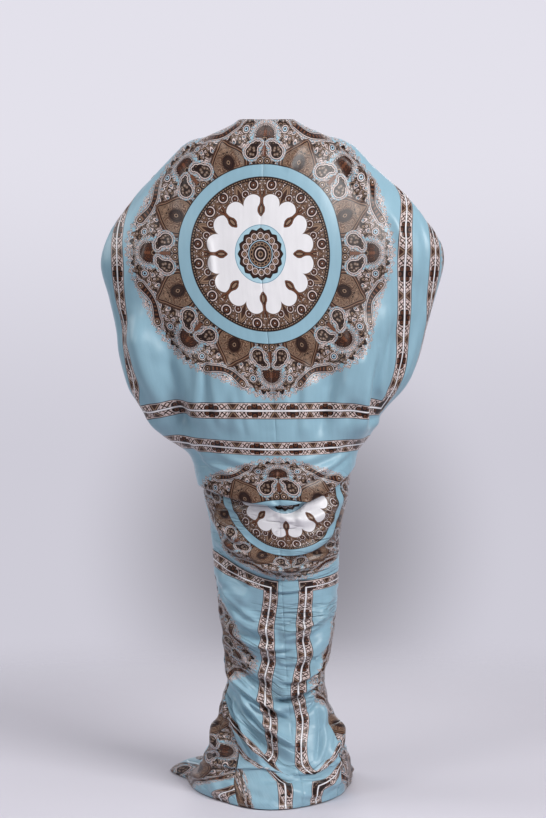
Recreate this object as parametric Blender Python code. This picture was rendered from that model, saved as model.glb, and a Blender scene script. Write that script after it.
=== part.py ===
"""A silky cape-cut kaftan, worn: a wide cape over bent arms, a bloused fold and a ruched skirt to the floor.

Metres, +Z up. The origin is on the shoulder line at the middle of the neck, where the wearer carries it.
The back faces -Y and the front faces +Y, so +X is the wearer's right. Heights below are above the floor.
"""

import bpy
import bmesh
import numpy as np

# Driving sizes
SHOULDER_HEIGHT = 1.500
WALL = 0.0018
SEAM_GAP = 0.0004
FRONT_DROOP = 1.35

# How the surface is sampled: the mesh columns of each panel, the share of them spaced evenly by length, and
# the steps, in rings and in degrees, that its direction is measured over
BACK_COLUMNS = 15
FRONT_COLUMNS = 22
SKIRT_BACK_COLUMNS = 15
SKIRT_FRONT_COLUMNS = 21
EVEN_SHARE = 0.6
LENGTH_SAMPLES = 8
RING_STEP = 0.02
TURN_STEP = 0.5
LEAST_SQUARE = 0.35

# One row for each ring round the garment, from the neck to the hem.
# steps: mesh rows down to the next ring. high_*: height of the ring at the back, each side and the front.
# left, right: reach of the sides from the middle. back, front: depth. tip: how far forward the side points
# lie. middle: sideways place of the centre back seam. fullness: 1 is an ellipse, less is squarer.
RING_COLUMNS = (
    "name", "steps", "high_back", "high_left", "high_right", "high_front",
    "left", "right", "back", "front", "tip", "middle", "fullness",
)
RINGS = (
    ("neck edge", 1, 1.530, 1.538, 1.538, 1.462, 0.070, 0.064, 0.064, 0.083, 0.000, -0.003, 1.00),
    ("neck base", 1, 1.511, 1.524, 1.524, 1.440, 0.092, 0.087, 0.083, 0.095, 0.000, -0.004, 1.00),
    ("collar bone", 1, 1.490, 1.506, 1.508, 1.415, 0.136, 0.122, 0.096, 0.105, 0.000, -0.006, 1.00),
    ("shoulder", 2, 1.458, 1.484, 1.485, 1.380, 0.192, 0.188, 0.108, 0.117, 0.000, -0.008, 1.00),
    ("upper arm", 2, 1.412, 1.431, 1.434, 1.340, 0.246, 0.241, 0.117, 0.128, 0.000, -0.010, 1.00),
    ("arm", 2, 1.352, 1.357, 1.365, 1.295, 0.308, 0.316, 0.122, 0.133, 0.000, -0.013, 0.98),
    ("above elbow", 2, 1.285, 1.283, 1.290, 1.245, 0.360, 0.379, 0.125, 0.134, 0.000, -0.016, 0.96),
    ("elbow", 2, 1.213, 1.212, 1.222, 1.190, 0.384, 0.405, 0.127, 0.134, 0.002, -0.016, 0.95),
    ("below elbow", 3, 1.135, 1.135, 1.138, 1.128, 0.368, 0.388, 0.130, 0.136, 0.010, -0.011, 0.94),
    ("wrist", 2, 1.060, 1.060, 1.060, 1.060, 0.353, 0.366, 0.133, 0.140, 0.016, -0.003, 0.93),
    ("hand", 2, 0.990, 0.990, 0.990, 0.990, 0.341, 0.347, 0.136, 0.143, 0.020, 0.005, 0.92),
    ("slit end", 3, 0.930, 0.930, 0.930, 0.930, 0.318, 0.320, 0.139, 0.142, 0.022, 0.010, 0.92),
    ("cape corner", 2, 0.880, 0.880, 0.880, 0.882, 0.282, 0.273, 0.141, 0.138, 0.020, 0.014, 0.93),
    ("cape edge", 1, 0.838, 0.838, 0.842, 0.842, 0.252, 0.253, 0.141, 0.132, 0.016, 0.017, 0.95),
    ("drawn in", 1, 0.806, 0.805, 0.814, 0.808, 0.226, 0.236, 0.140, 0.126, 0.012, 0.019, 0.97),
    ("hip", 1, 0.778, 0.780, 0.796, 0.782, 0.190, 0.219, 0.139, 0.121, 0.010, 0.021, 1.00),
    ("under cape", 2, 0.750, 0.757, 0.780, 0.758, 0.174, 0.208, 0.140, 0.118, 0.008, 0.022, 1.00),
    ("above fold", 1, 0.705, 0.728, 0.762, 0.728, 0.167, 0.203, 0.144, 0.117, 0.006, 0.024, 0.98),
    ("fold edge", 1, 0.664, 0.702, 0.746, 0.702, 0.161, 0.200, 0.147, 0.117, 0.006, 0.026, 0.98),
    ("fold turned in", 1, 0.670, 0.706, 0.750, 0.706, 0.152, 0.191, 0.137, 0.109, 0.006, 0.026, 0.98),
    ("fold top", 1, 0.703, 0.728, 0.767, 0.726, 0.149, 0.188, 0.131, 0.104, 0.006, 0.026, 0.98),
    ("fold inside", 1, 0.698, 0.722, 0.761, 0.720, 0.144, 0.183, 0.123, 0.097, 0.006, 0.027, 0.98),
    ("below fold", 2, 0.655, 0.687, 0.728, 0.687, 0.149, 0.189, 0.126, 0.102, 0.006, 0.027, 0.98),
    ("thigh", 3, 0.612, 0.648, 0.672, 0.640, 0.141, 0.182, 0.126, 0.105, 0.005, 0.027, 0.98),
    ("above knee", 3, 0.555, 0.604, 0.600, 0.582, 0.134, 0.167, 0.121, 0.106, 0.004, 0.028, 0.98),
    ("knee seam", 2, 0.491, 0.558, 0.516, 0.510, 0.129, 0.163, 0.115, 0.104, 0.003, 0.031, 0.98),
    ("below knee", 4, 0.445, 0.505, 0.465, 0.465, 0.124, 0.160, 0.111, 0.101, 0.002, 0.033, 0.98),
    ("calf", 4, 0.385, 0.415, 0.395, 0.400, 0.115, 0.156, 0.105, 0.094, 0.000, 0.036, 0.98),
    ("low calf", 5, 0.315, 0.330, 0.322, 0.325, 0.105, 0.146, 0.099, 0.088, 0.000, 0.040, 0.98),
    ("tightest", 4, 0.245, 0.250, 0.250, 0.250, 0.100, 0.131, 0.094, 0.086, 0.000, 0.044, 1.00),
    ("ankle", 4, 0.180, 0.180, 0.178, 0.180, 0.118, 0.150, 0.100, 0.098, 0.000, 0.050, 1.00),
    ("flare", 3, 0.124, 0.118, 0.115, 0.122, 0.134, 0.171, 0.117, 0.122, 0.000, 0.058, 1.00),
    ("low fold", 1, 0.076, 0.074, 0.080, 0.070, 0.145, 0.183, 0.138, 0.146, 0.002, 0.066, 1.00),
    ("low fold edge", 1, 0.058, 0.062, 0.072, 0.052, 0.149, 0.186, 0.142, 0.152, 0.003, 0.070, 1.00),
    ("low fold top", 1, 0.070, 0.058, 0.064, 0.063, 0.152, 0.188, 0.127, 0.142, 0.004, 0.072, 1.00),
    ("low fold inside", 1, 0.062, 0.050, 0.054, 0.055, 0.155, 0.189, 0.121, 0.141, 0.005, 0.074, 1.00),
    ("hem roll", 2, 0.048, 0.036, 0.040, 0.042, 0.160, 0.190, 0.138, 0.160, 0.006, 0.077, 1.00),
    ("pool", 2, 0.020, 0.016, 0.018, 0.018, 0.168, 0.190, 0.168, 0.182, 0.008, 0.082, 1.00),
    ("hem", 1, 0.0024, 0.0024, 0.0024, 0.0024, 0.176, 0.190, 0.190, 0.200, 0.008, 0.085, 1.00),
)
# Degrees that the side seam lies in front of the side point, or behind it where less than 0
SEAM_FORWARD = {
    "elbow": 6, "below elbow": 22, "wrist": 33, "hand": 37, "slit end": 36, "cape corner": 30,
    "cape edge": 22, "drawn in": 14, "hip": 8, "under cape": 4, "above fold": 2,
    "tightest": -9, "ankle": -32, "flare": -43, "low fold": -45, "low fold edge": -45, "low fold top": -45,
    "low fold inside": -45, "hem roll": -46, "pool": -48, "hem": -50,
}
# Half the width of the hand slit in the side seam, and how far each side parts more in the skirt's low fold
SLIT_HALF_WIDTH = {
    "below elbow": 0.0004, "wrist": 0.028, "hand": 0.036, "slit end": 0.024, "cape corner": 0.0004,
    "low fold": 0.0011, "low fold edge": 0.0013, "low fold top": 0.0009, "low fold inside": 0.0005,
}
# How much a ring follows the outline of the hem on the floor
POOL_SHARE = {
    "low fold": 0.06, "low fold edge": 0.14, "low fold top": 0.20, "low fold inside": 0.28,
    "hem roll": 0.48, "pool": 0.86, "hem": 1.00,
}
# How much of the folds a ring takes, where that is not all of them
FOLD_SHARE = {
    "neck edge": 0, "neck base": 0.5, "fold edge": 0.3, "fold turned in": 0, "fold top": 0,
    "fold inside": 0, "below fold": 0.5, "low fold": 0.6, "low fold edge": 0, "low fold top": 0,
    "low fold inside": 0, "hem roll": 0.2, "pool": 0.4, "hem": 0,
}
DIAGONALS = {-1: "ALTERNATE", 1: "FIXED"}
KNEE = [row[0] for row in RINGS].index("knee seam")

# The outline of the hem on the floor. angle: degrees from the back, towards the wearer's right.
# reach: from the middle of the outline, which lies HEM_FORWARD in front of the origin. HEM_TURN: how many
# degrees to the wearer's right of the middle the centre back seam meets the hem.
HEM_FORWARD = 0.020
HEM_TURN = 22
HEM_COLUMNS = ("angle", "reach")
HEM = (
    (-180, 0.190),
    (-152, 0.215),
    (-129, 0.300),
    (-112, 0.205),
    (-80, 0.168),
    (-40, 0.164),
    (0, 0.207),
    (35, 0.190),
    (60, 0.181),
    (88, 0.183),
    (112, 0.212),
    (128, 0.246),
    (150, 0.212),
)

# One row for each fold, as a curve through three points, seen from behind or from in front.
# across_* is sideways and high_* is above the floor. Cloth above the curve stands out and cloth below it
# lies in by `rise`, each over about `width`.
FOLD_COLUMNS = (
    "across_1", "high_1", "across_2", "high_2", "across_3", "high_3", "width", "rise",
)
BACK_FOLDS = (
    # Soft upright folds where the cape is drawn in
    (-0.322, 1.120, -0.282, 0.975, -0.222, 0.850, 0.026, 0.012),
    (-0.232, 1.010, -0.208, 0.920, -0.168, 0.830, 0.022, 0.009),
    (-0.100, 0.960, -0.090, 0.880, -0.075, 0.800, 0.024, 0.005),
    (0.196, 0.862, 0.240, 0.960, 0.285, 1.110, 0.026, 0.012),
    (0.146, 0.838, 0.186, 0.920, 0.206, 1.020, 0.022, 0.009),
    (0.100, 0.800, 0.112, 0.880, 0.120, 0.960, 0.024, 0.005),
    # Creases over the shoulders
    (-0.110, 1.498, -0.190, 1.440, -0.268, 1.370, 0.020, 0.006),
    (0.268, 1.370, 0.190, 1.440, 0.105, 1.500, 0.020, 0.006),
    # Bowed folds below the bloused fold
    (0.182, 0.712, 0.096, 0.646, 0.030, 0.655, 0.015, 0.012),
    (-0.140, 0.640, -0.075, 0.562, 0.010, 0.530, 0.016, 0.009),
    (-0.134, 0.592, -0.032, 0.513, 0.095, 0.515, 0.017, 0.014),
    (0.030, 0.545, 0.095, 0.556, 0.160, 0.600, 0.016, 0.008),
    # Bowed folds of the ruched skirt
    (-0.125, 0.505, -0.088, 0.455, -0.035, 0.430, 0.017, 0.010),
    (-0.119, 0.466, -0.062, 0.392, 0.022, 0.362, 0.018, 0.012),
    (0.022, 0.350, 0.092, 0.372, 0.155, 0.424, 0.018, 0.012),
    (-0.112, 0.408, -0.056, 0.342, 0.050, 0.314, 0.018, 0.010),
    (0.040, 0.300, 0.100, 0.318, 0.150, 0.370, 0.017, 0.008),
    (-0.106, 0.352, -0.050, 0.285, 0.020, 0.262, 0.018, 0.009),
    (0.000, 0.243, 0.080, 0.243, 0.144, 0.318, 0.017, 0.014),
    (0.000, 0.198, 0.066, 0.206, 0.136, 0.256, 0.017, 0.012),
    (-0.104, 0.290, -0.060, 0.222, 0.008, 0.180, 0.022, 0.014),
    (-0.090, 0.228, -0.020, 0.146, 0.085, 0.090, 0.022, 0.015),
    (-0.104, 0.205, -0.066, 0.128, -0.008, 0.070, 0.024, 0.014),
    (0.158, 0.180, 0.136, 0.130, 0.146, 0.085, 0.022, 0.011),
    (-0.140, 0.170, -0.136, 0.125, -0.122, 0.085, 0.022, 0.011),
)
FRONT_FOLDS = (
    (-0.300, 1.040, -0.240, 0.940, -0.180, 0.850, 0.026, 0.012),
    (0.180, 0.850, 0.240, 0.940, 0.300, 1.040, 0.026, 0.012),
    (-0.170, 1.060, -0.150, 0.950, -0.115, 0.840, 0.024, 0.010),
    (0.120, 0.840, 0.155, 0.950, 0.178, 1.060, 0.024, 0.010),
    (-0.050, 1.000, -0.046, 0.910, -0.036, 0.820, 0.024, 0.007),
    (0.045, 0.820, 0.055, 0.910, 0.060, 1.000, 0.024, 0.007),
    (-0.170, 1.420, -0.080, 1.345, 0.000, 1.330, 0.022, 0.006),
    (0.000, 1.330, 0.080, 1.345, 0.170, 1.420, 0.022, 0.006),
    (-0.140, 0.655, -0.040, 0.585, 0.110, 0.590, 0.017, 0.012),
    (-0.126, 0.590, -0.010, 0.530, 0.156, 0.590, 0.017, 0.011),
    (-0.118, 0.490, -0.030, 0.425, 0.090, 0.420, 0.018, 0.012),
    (-0.050, 0.376, 0.050, 0.372, 0.152, 0.450, 0.018, 0.012),
    (-0.108, 0.400, -0.030, 0.326, 0.080, 0.312, 0.018, 0.011),
    (-0.050, 0.262, 0.050, 0.262, 0.142, 0.340, 0.018, 0.013),
    (-0.104, 0.310, -0.040, 0.225, 0.060, 0.198, 0.018, 0.013),
    (-0.020, 0.150, 0.070, 0.160, 0.148, 0.230, 0.018, 0.012),
    (-0.115, 0.210, -0.070, 0.130, 0.010, 0.092, 0.019, 0.013),
    (-0.200, 0.052, -0.160, 0.055, -0.110, 0.090, 0.018, 0.010),
)

# The shape of every fold, in widths from its curve, and how it fades at its ends and round the sides
FOLD_SAMPLES = 25
RIDGE_PLACE = 0.7
TROUGH_PLACE = -0.5
TROUGH_WIDTH = 0.7
TROUGH_SHARE = 0.8
FADE = 0.22
SIDE_BLEND = 0.5

# Base colour and roughness of each panel's satin
PANEL_FINISHES = {
    "back_left": ((0.25, 0.47, 0.60), 0.36),
    "back_right": ((0.27, 0.50, 0.63), 0.36),
    "front": ((0.23, 0.44, 0.57), 0.36),
    "skirt_back_left": ((0.24, 0.45, 0.58), 0.38),
    "skirt_back_right": ((0.26, 0.48, 0.61), 0.38),
    "skirt_front": ((0.22, 0.42, 0.55), 0.38),
}


def clear_scene():
    for thing in list(bpy.data.objects):
        bpy.data.objects.remove(thing, do_unlink=True)


def ring_column(name):
    place = RING_COLUMNS.index(name)
    return np.array([row[place] for row in RINGS], float)


def by_ring(values, usual):
    return np.array([values.get(row[0], usual) for row in RINGS], float)


RING = {name: ring_column(name) for name in RING_COLUMNS[2:]}
RING["seam"] = by_ring(SEAM_FORWARD, 0)
RING["slit"] = by_ring(SLIT_HALF_WIDTH, 0)
RING["pool"] = by_ring(POOL_SHARE, 0)
RING["folds"] = by_ring(FOLD_SHARE, 1)


def smooth(values, at):
    """The values at fractional rows, on a smooth curve through every row."""
    last = len(values) - 1
    low = np.clip(np.floor(at).astype(int), 0, last - 1)
    part = at - low
    before = values[np.maximum(low - 1, 0)]
    start = values[low]
    end = values[low + 1]
    after = values[np.minimum(low + 2, last)]
    lean_in = (end - before) / 2
    lean_out = (after - start) / 2
    rise = end - start
    square = 3 * rise - 2 * lean_in - lean_out
    cube = lean_in + lean_out - 2 * rise
    return start + part * (lean_in + part * (square + part * cube))


def hem_reach(angle):
    """Reach of the hem's outline at each angle, in degrees, all the way round."""
    angles = np.array([row[0] for row in HEM], float)
    reach = np.array([row[1] for row in HEM], float)
    angles = np.concatenate([angles[-2:] - 360, angles, angles[:2] + 360])
    reach = np.concatenate([reach[-2:], reach, reach[:2]])
    turned = (angle + 180) % 360 - 180
    return smooth(reach, np.interp(turned, angles, np.arange(len(angles))))


def bare(angle, ring):
    """Points of the garment without its folds. angle is in degrees from the centre back."""
    turn = np.radians(angle)
    sine, cosine = np.sin(turn), np.cos(turn)
    back_share = np.maximum(cosine, 0) ** 2
    front_share = np.maximum(-cosine, 0) ** FRONT_DROOP
    side_share = 1 - back_share - front_share
    rightward = sine > 0
    at = {name: smooth(RING[name], ring) for name in RING}
    high_side = np.where(rightward, at["high_right"], at["high_left"])
    high = at["high_back"] * back_share + high_side * side_share + at["high_front"] * front_share
    reach = np.where(rightward, at["right"], at["left"])
    depth = np.where(cosine > 0, -at["back"], at["front"])
    shift = at["middle"] * (back_share + front_share / 2)
    across = np.sign(sine) * reach * np.abs(sine) ** at["fullness"] + shift
    along = depth * np.abs(cosine) ** at["fullness"] + at["tip"] * side_share
    pool = np.clip(at["pool"], 0, 1)
    hem_turn = turn + np.radians(HEM_TURN) * (1 + cosine) / 2
    hem = hem_reach(np.degrees(hem_turn))
    across = across * (1 - pool) + np.sin(hem_turn) * hem * pool
    along = along * (1 - pool) + (HEM_FORWARD - np.cos(hem_turn) * hem) * pool
    return np.stack([across, along, high - SHOULDER_HEIGHT], axis=-1)


def facing(place, angle, ring):
    """The outward direction of the surface that `place` describes."""
    out = np.cross(*surface_steps(place, angle, ring))
    return out / np.linalg.norm(out, axis=-1, keepdims=True)


def surface_steps(place, angle, ring):
    """A short step down the surface and one along the ring, through each point."""
    above = np.maximum(ring - RING_STEP, 0)
    below = np.minimum(ring + RING_STEP, len(RINGS) - 1)
    down = place(angle, below) - place(angle, above)
    along = place(angle + TURN_STEP, ring) - place(angle - TURN_STEP, ring)
    return down, along


def fold_lift(across, high, folds):
    """How far the folds push each point out, in metres."""
    lift = np.zeros_like(across)
    part = np.linspace(0, 1, FOLD_SAMPLES)
    for row in folds:
        fold = dict(zip(FOLD_COLUMNS, row))
        points = [np.array([fold[f"across_{k}"], fold[f"high_{k}"]]) for k in (1, 2, 3)]
        bend = 2 * points[1] - (points[0] + points[2]) / 2
        line = (
            np.outer((1 - part) ** 2, points[0])
            + np.outer(2 * part * (1 - part), bend)
            + np.outer(part ** 2, points[2])
        )
        lean = np.gradient(line, axis=0)
        lean /= np.linalg.norm(lean, axis=1, keepdims=True)
        gap_across = across[..., None] - line[:, 0]
        gap_high = high[..., None] - line[:, 1]
        near = np.argmin(gap_across ** 2 + gap_high ** 2, axis=-1)
        off_across = np.take_along_axis(gap_across, near[..., None], -1)[..., 0]
        off_high = np.take_along_axis(gap_high, near[..., None], -1)[..., 0]
        tangent = lean[near]
        over = (off_high * tangent[..., 0] - off_across * tangent[..., 1]) / fold["width"]
        past = (off_across * tangent[..., 0] + off_high * tangent[..., 1]) / fold["width"]
        end = np.clip(np.minimum(part[near], 1 - part[near]) / FADE, 0, 1)
        ridge = np.exp(-((over - RIDGE_PLACE) ** 2))
        trough = np.exp(-(((over - TROUGH_PLACE) / TROUGH_WIDTH) ** 2))
        fade = end * end * (3 - 2 * end) * np.exp(-(past ** 2))
        lift += fold["rise"] * fade * (ridge - TROUGH_SHARE * trough)
    return lift


def place(angle, ring):
    """Points of the outer face of the cloth, with its folds."""
    plain = bare(angle, ring)
    cosine = np.cos(np.radians(angle))
    across = plain[..., 0]
    high = plain[..., 2] + SHOULDER_HEIGHT
    behind = fold_lift(across, high, BACK_FOLDS)
    ahead = fold_lift(across, high, FRONT_FOLDS)
    share = np.clip(0.5 + cosine / SIDE_BLEND, 0, 1)
    lift = (behind * share + ahead * (1 - share)) * smooth(RING["folds"], ring)
    return plain + facing(bare, angle, ring) * lift[..., None]


def parting(angle, ring, width):
    """Degrees along the ring that part an edge from the seam through `angle` by `width`, square to it."""
    down, along = surface_steps(bare, angle, ring)
    square = np.linalg.norm(np.cross(along, down), axis=-1) / np.linalg.norm(down, axis=-1)
    length = np.linalg.norm(along, axis=-1)
    return width * 2 * TURN_STEP / np.maximum(square, LEAST_SQUARE * length)


def edge_angle(ring, side, towards_back):
    """The angle of a panel's edge at the side seam, past half the seam gap and half the hand slit."""
    seam = side * (90 + smooth(RING["seam"], ring))
    parted = SEAM_GAP / 2 + np.maximum(smooth(RING["slit"], ring), 0)
    return seam - side * towards_back * parting(seam, ring, parted)


def middle_angle(ring, side):
    return side * parting(np.zeros_like(ring), ring, SEAM_GAP / 2)


def ring_rows(first, last):
    """Fractional ring of each mesh row from one ring to another."""
    rows = []
    for number in range(first, last):
        steps = RINGS[number][1]
        rows.extend(number + np.arange(steps) / steps)
    return np.array(rows + [last], float)


def spaced_angles(start, end, rows, columns):
    """Angles of the mesh columns on each row, spaced between evenly by angle and evenly by length."""
    fine = np.linspace(0, 1, LENGTH_SAMPLES * columns + 1)
    angles = start[:, None] + (end - start)[:, None] * fine
    rings = np.repeat(rows[:, None], len(fine), axis=1)
    points = bare(angles, rings)
    lengths = np.linalg.norm(np.diff(points, axis=1), axis=-1).cumsum(axis=1)
    lengths = np.concatenate([np.zeros((len(rows), 1)), lengths / lengths[:, -1:]], axis=1)
    mixed = EVEN_SHARE * lengths + (1 - EVEN_SHARE) * fine
    parts = np.linspace(0, 1, columns + 1)
    return np.stack([np.interp(parts, mixed[k], angles[k]) for k in range(len(rows))])


def cloth_wall(name, start, end, rows, columns, diagonal="FIXED"):
    """A panel as one closed wall: a grid shaped on the garment's surface, with an inner copy of it."""
    angles = spaced_angles(start(rows), end(rows), rows, columns)
    rings = np.repeat(rows[:, None], columns + 1, axis=1)
    outer = place(angles, rings)
    inner = outer - WALL * facing(place, angles, rings)
    bm = bmesh.new()
    bmesh.ops.create_grid(bm, x_segments=columns, y_segments=len(rows) - 1, size=0.5)
    made = bmesh.ops.extrude_face_region(bm, geom=bm.faces[:], use_keep_orig=True)
    lifted = [item for item in made["geom"] if isinstance(item, bmesh.types.BMVert)]
    bmesh.ops.translate(bm, verts=lifted, vec=(0, 0, 1))
    bmesh.ops.recalc_face_normals(bm, faces=bm.faces[:])
    for vert in bm.verts:
        column = round((vert.co.x + 0.5) * columns)
        row = round((0.5 - vert.co.y) * (len(rows) - 1))
        face = outer if vert.co.z > 0.5 else inner
        vert.co = face[row, column]
    bmesh.ops.triangulate(bm, faces=bm.faces[:], quad_method=diagonal)
    mesh = bpy.data.meshes.new(name)
    bm.to_mesh(mesh)
    bm.free()
    mesh.shade_smooth()
    panel = bpy.data.objects.new(name, mesh)
    bpy.context.scene.collection.objects.link(panel)
    mesh.materials.append(satin(name))
    return panel


def satin(name):
    colour, roughness = PANEL_FINISHES[name]
    finish = bpy.data.materials.new(name + "_satin")
    finish.use_nodes = True
    shader = finish.node_tree.nodes["Principled BSDF"]
    shader.inputs["Base Color"].default_value = (*colour, 1)
    shader.inputs["Roughness"].default_value = roughness
    shader.inputs["Metallic"].default_value = 0
    finish.diffuse_color = (*colour, 1)
    return finish


def back_panel(name, side, rows, columns):
    edges = [lambda ring: middle_angle(ring, side), lambda ring: edge_angle(ring, side, 1)]
    return cloth_wall(name, *edges[::side], rows, columns, DIAGONALS[side])


def front_panel(name, rows, columns):
    return cloth_wall(
        name,
        lambda ring: edge_angle(ring, 1, -1),
        lambda ring: 360 + edge_angle(ring, -1, -1),
        rows,
        columns,
    )


def main():
    clear_scene()
    top_rows = ring_rows(0, KNEE)
    skirt_rows = ring_rows(KNEE, len(RINGS) - 1)
    down, _ = surface_steps(bare, np.zeros(1), np.array([float(KNEE)]))
    parted = SEAM_GAP * 2 * RING_STEP / np.linalg.norm(down)
    top_rows[-1] -= parted
    skirt_rows[0] += parted
    back_panel("back_left", -1, top_rows, BACK_COLUMNS)
    back_panel("back_right", 1, top_rows, BACK_COLUMNS)
    front_panel("front", top_rows, FRONT_COLUMNS)
    back_panel("skirt_back_left", -1, skirt_rows, SKIRT_BACK_COLUMNS)
    back_panel("skirt_back_right", 1, skirt_rows, SKIRT_BACK_COLUMNS)
    front_panel("skirt_front", skirt_rows, SKIRT_FRONT_COLUMNS)


main()
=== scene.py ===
import bmesh
import bpy
import numpy as np
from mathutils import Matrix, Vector


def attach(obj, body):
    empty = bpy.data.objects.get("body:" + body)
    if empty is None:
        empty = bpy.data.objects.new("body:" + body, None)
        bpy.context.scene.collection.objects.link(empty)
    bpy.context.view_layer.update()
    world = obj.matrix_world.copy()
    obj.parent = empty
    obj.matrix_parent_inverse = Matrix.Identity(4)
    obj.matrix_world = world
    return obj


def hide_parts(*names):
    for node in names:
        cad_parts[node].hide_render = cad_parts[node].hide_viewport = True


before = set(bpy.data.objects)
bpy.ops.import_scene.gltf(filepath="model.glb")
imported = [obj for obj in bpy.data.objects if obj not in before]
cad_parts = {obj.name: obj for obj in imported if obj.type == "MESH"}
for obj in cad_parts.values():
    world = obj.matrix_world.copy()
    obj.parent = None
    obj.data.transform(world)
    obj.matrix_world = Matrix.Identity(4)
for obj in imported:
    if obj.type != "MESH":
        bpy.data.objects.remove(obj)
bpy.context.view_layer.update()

# Camera, behind the wearer at the photograph's distance
CAMERA_PLACE = (0.0115, -3.6, -0.624)
CAMERA_LENS = 68.87
SENSOR_WIDTH = 36.0

# Heights in the tables are above the floor, which is this far below the shoulders
SHOULDER_HEIGHT = 1.500
# Thickness of the cloth, and the gap between two pieces at a seam
CLOTH = 0.0012
SEAM_GAP = 0.0001
# How quickly a ring goes over from the side's height to the front's: less is sooner
FRONT_DROOP = 1.35

# How finely the cloth is made: columns and rows of each panel
PANEL_GRIDS = {
    "back_left": (150, 310),
    "back_right": (150, 310),
    "front": (180, 230),
    "skirt_back_left": (90, 230),
    "skirt_back_right": (90, 230),
    "skirt_front": (130, 200),
}
# Share of their spacing that goes by length of cloth, how much closer columns are at an edge, and the samples
# for each column and for each ring that lengths are measured with
COLUMNS_BY_LENGTH = 0.6
ROWS_BY_LENGTH = 0.7
EDGE_CROWDING = 0.45
LENGTH_SAMPLES = 4
ROW_SAMPLES = 40
# Places across a panel's top edge from which the spacing of its rows is taken
ROW_PLACES = np.linspace(0.1, 0.9, 5)
# Steps in rings and in degrees from which directions are taken, and the least sizes that are divided by
RING_STEP = 0.02
TURN_STEP = 0.5
LEAST_SQUARE = 0.35
LEAST_LENGTH = 1e-12

# The tables of rings, folds, creases and print places are in millimetres, or in thousandths where a column
# is a share. Everything else is in metres.
TABLE_UNITS = 1000

# One row for each ring round the garment, from the neck to the hem.
# high_*: height of the ring at the back, each side and the front. left, right: reach of the sides from the
# middle. back, front: depth. tip: how far forward the side points lie. middle: sideways place of the centre
# back seam. fullness: 1000 is an ellipse, less is squarer.
RING_COLUMNS = (
    "high_back", "high_left", "high_right", "high_front",
    "left", "right", "back", "front", "tip", "middle", "fullness",
)
RINGS = (
    ("neck edge", 1530, 1538, 1538, 1462, 70, 64, 64, 83, 0, -3, 1000),
    ("neck base", 1511, 1524, 1524, 1440, 92, 87, 83, 95, 0, -4, 1000),
    ("collar bone", 1490, 1506, 1508, 1415, 136, 122, 96, 105, 0, -6, 1000),
    ("shoulder", 1458, 1484, 1485, 1380, 192, 188, 108, 117, 0, -8, 1000),
    ("upper arm", 1412, 1431, 1434, 1340, 246, 241, 117, 128, 0, -10, 1000),
    ("arm", 1352, 1357, 1365, 1295, 308, 316, 122, 133, 0, -13, 980),
    ("above elbow", 1285, 1283, 1290, 1245, 360, 379, 125, 134, 0, -16, 960),
    ("elbow", 1213, 1212, 1222, 1190, 384, 405, 127, 134, 2, -16, 950),
    ("below elbow", 1135, 1135, 1138, 1128, 368, 388, 130, 136, 10, -11, 940),
    ("wrist", 1060, 1060, 1060, 1060, 353, 366, 133, 140, 16, -3, 930),
    ("hand", 990, 990, 990, 990, 341, 347, 136, 143, 20, 5, 920),
    ("slit end", 930, 930, 930, 930, 318, 320, 139, 142, 22, 10, 920),
    ("cape corner", 880, 880, 880, 882, 282, 273, 141, 138, 20, 14, 930),
    ("cape edge", 838, 838, 842, 842, 252, 253, 141, 132, 16, 17, 950),
    ("drawn in", 806, 805, 814, 808, 226, 236, 140, 126, 12, 19, 970),
    ("hip", 778, 780, 796, 782, 190, 219, 139, 121, 10, 21, 1000),
    ("under cape", 750, 757, 780, 758, 174, 208, 140, 118, 8, 22, 1000),
    ("above fold", 705, 728, 762, 728, 167, 203, 144, 117, 6, 24, 980),
    ("fold edge", 664, 702, 746, 702, 161, 200, 147, 117, 6, 26, 980),
    ("fold turned in", 670, 706, 750, 706, 152, 191, 137, 109, 6, 26, 980),
    ("fold top", 703, 728, 767, 726, 149, 188, 131, 104, 6, 26, 980),
    ("fold inside", 698, 722, 761, 720, 144, 183, 123, 97, 6, 27, 980),
    ("below fold", 655, 687, 728, 687, 149, 189, 126, 102, 6, 27, 980),
    ("thigh", 612, 648, 672, 640, 141, 182, 126, 105, 5, 27, 980),
    ("above knee", 555, 604, 600, 582, 134, 167, 121, 106, 4, 28, 980),
    ("knee seam", 491, 558, 516, 510, 129, 163, 115, 104, 3, 31, 980),
    ("below knee", 445, 505, 465, 465, 124, 160, 111, 101, 2, 33, 980),
    ("calf", 385, 415, 395, 400, 115, 156, 105, 94, 0, 36, 980),
    ("low calf", 315, 330, 322, 325, 105, 146, 99, 88, 0, 40, 980),
    ("tightest", 245, 250, 250, 250, 100, 131, 94, 86, 0, 44, 1000),
    ("ankle", 180, 180, 178, 180, 118, 150, 100, 98, 0, 50, 1000),
    ("flare", 124, 118, 115, 122, 134, 171, 117, 122, 0, 58, 1000),
    ("low fold", 76, 74, 80, 70, 145, 183, 138, 146, 2, 66, 1000),
    ("low fold edge", 58, 62, 72, 52, 149, 186, 142, 152, 3, 70, 1000),
    ("low fold top", 70, 58, 64, 63, 152, 188, 127, 142, 4, 72, 1000),
    ("low fold inside", 62, 50, 54, 55, 155, 189, 121, 141, 5, 74, 1000),
    ("hem roll", 48, 36, 40, 42, 160, 190, 138, 160, 6, 77, 1000),
    ("pool", 20, 16, 18, 18, 168, 190, 168, 182, 8, 82, 1000),
    ("hem", 2.4, 2.4, 2.4, 2.4, 176, 190, 190, 200, 8, 85, 1000),
)
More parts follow.
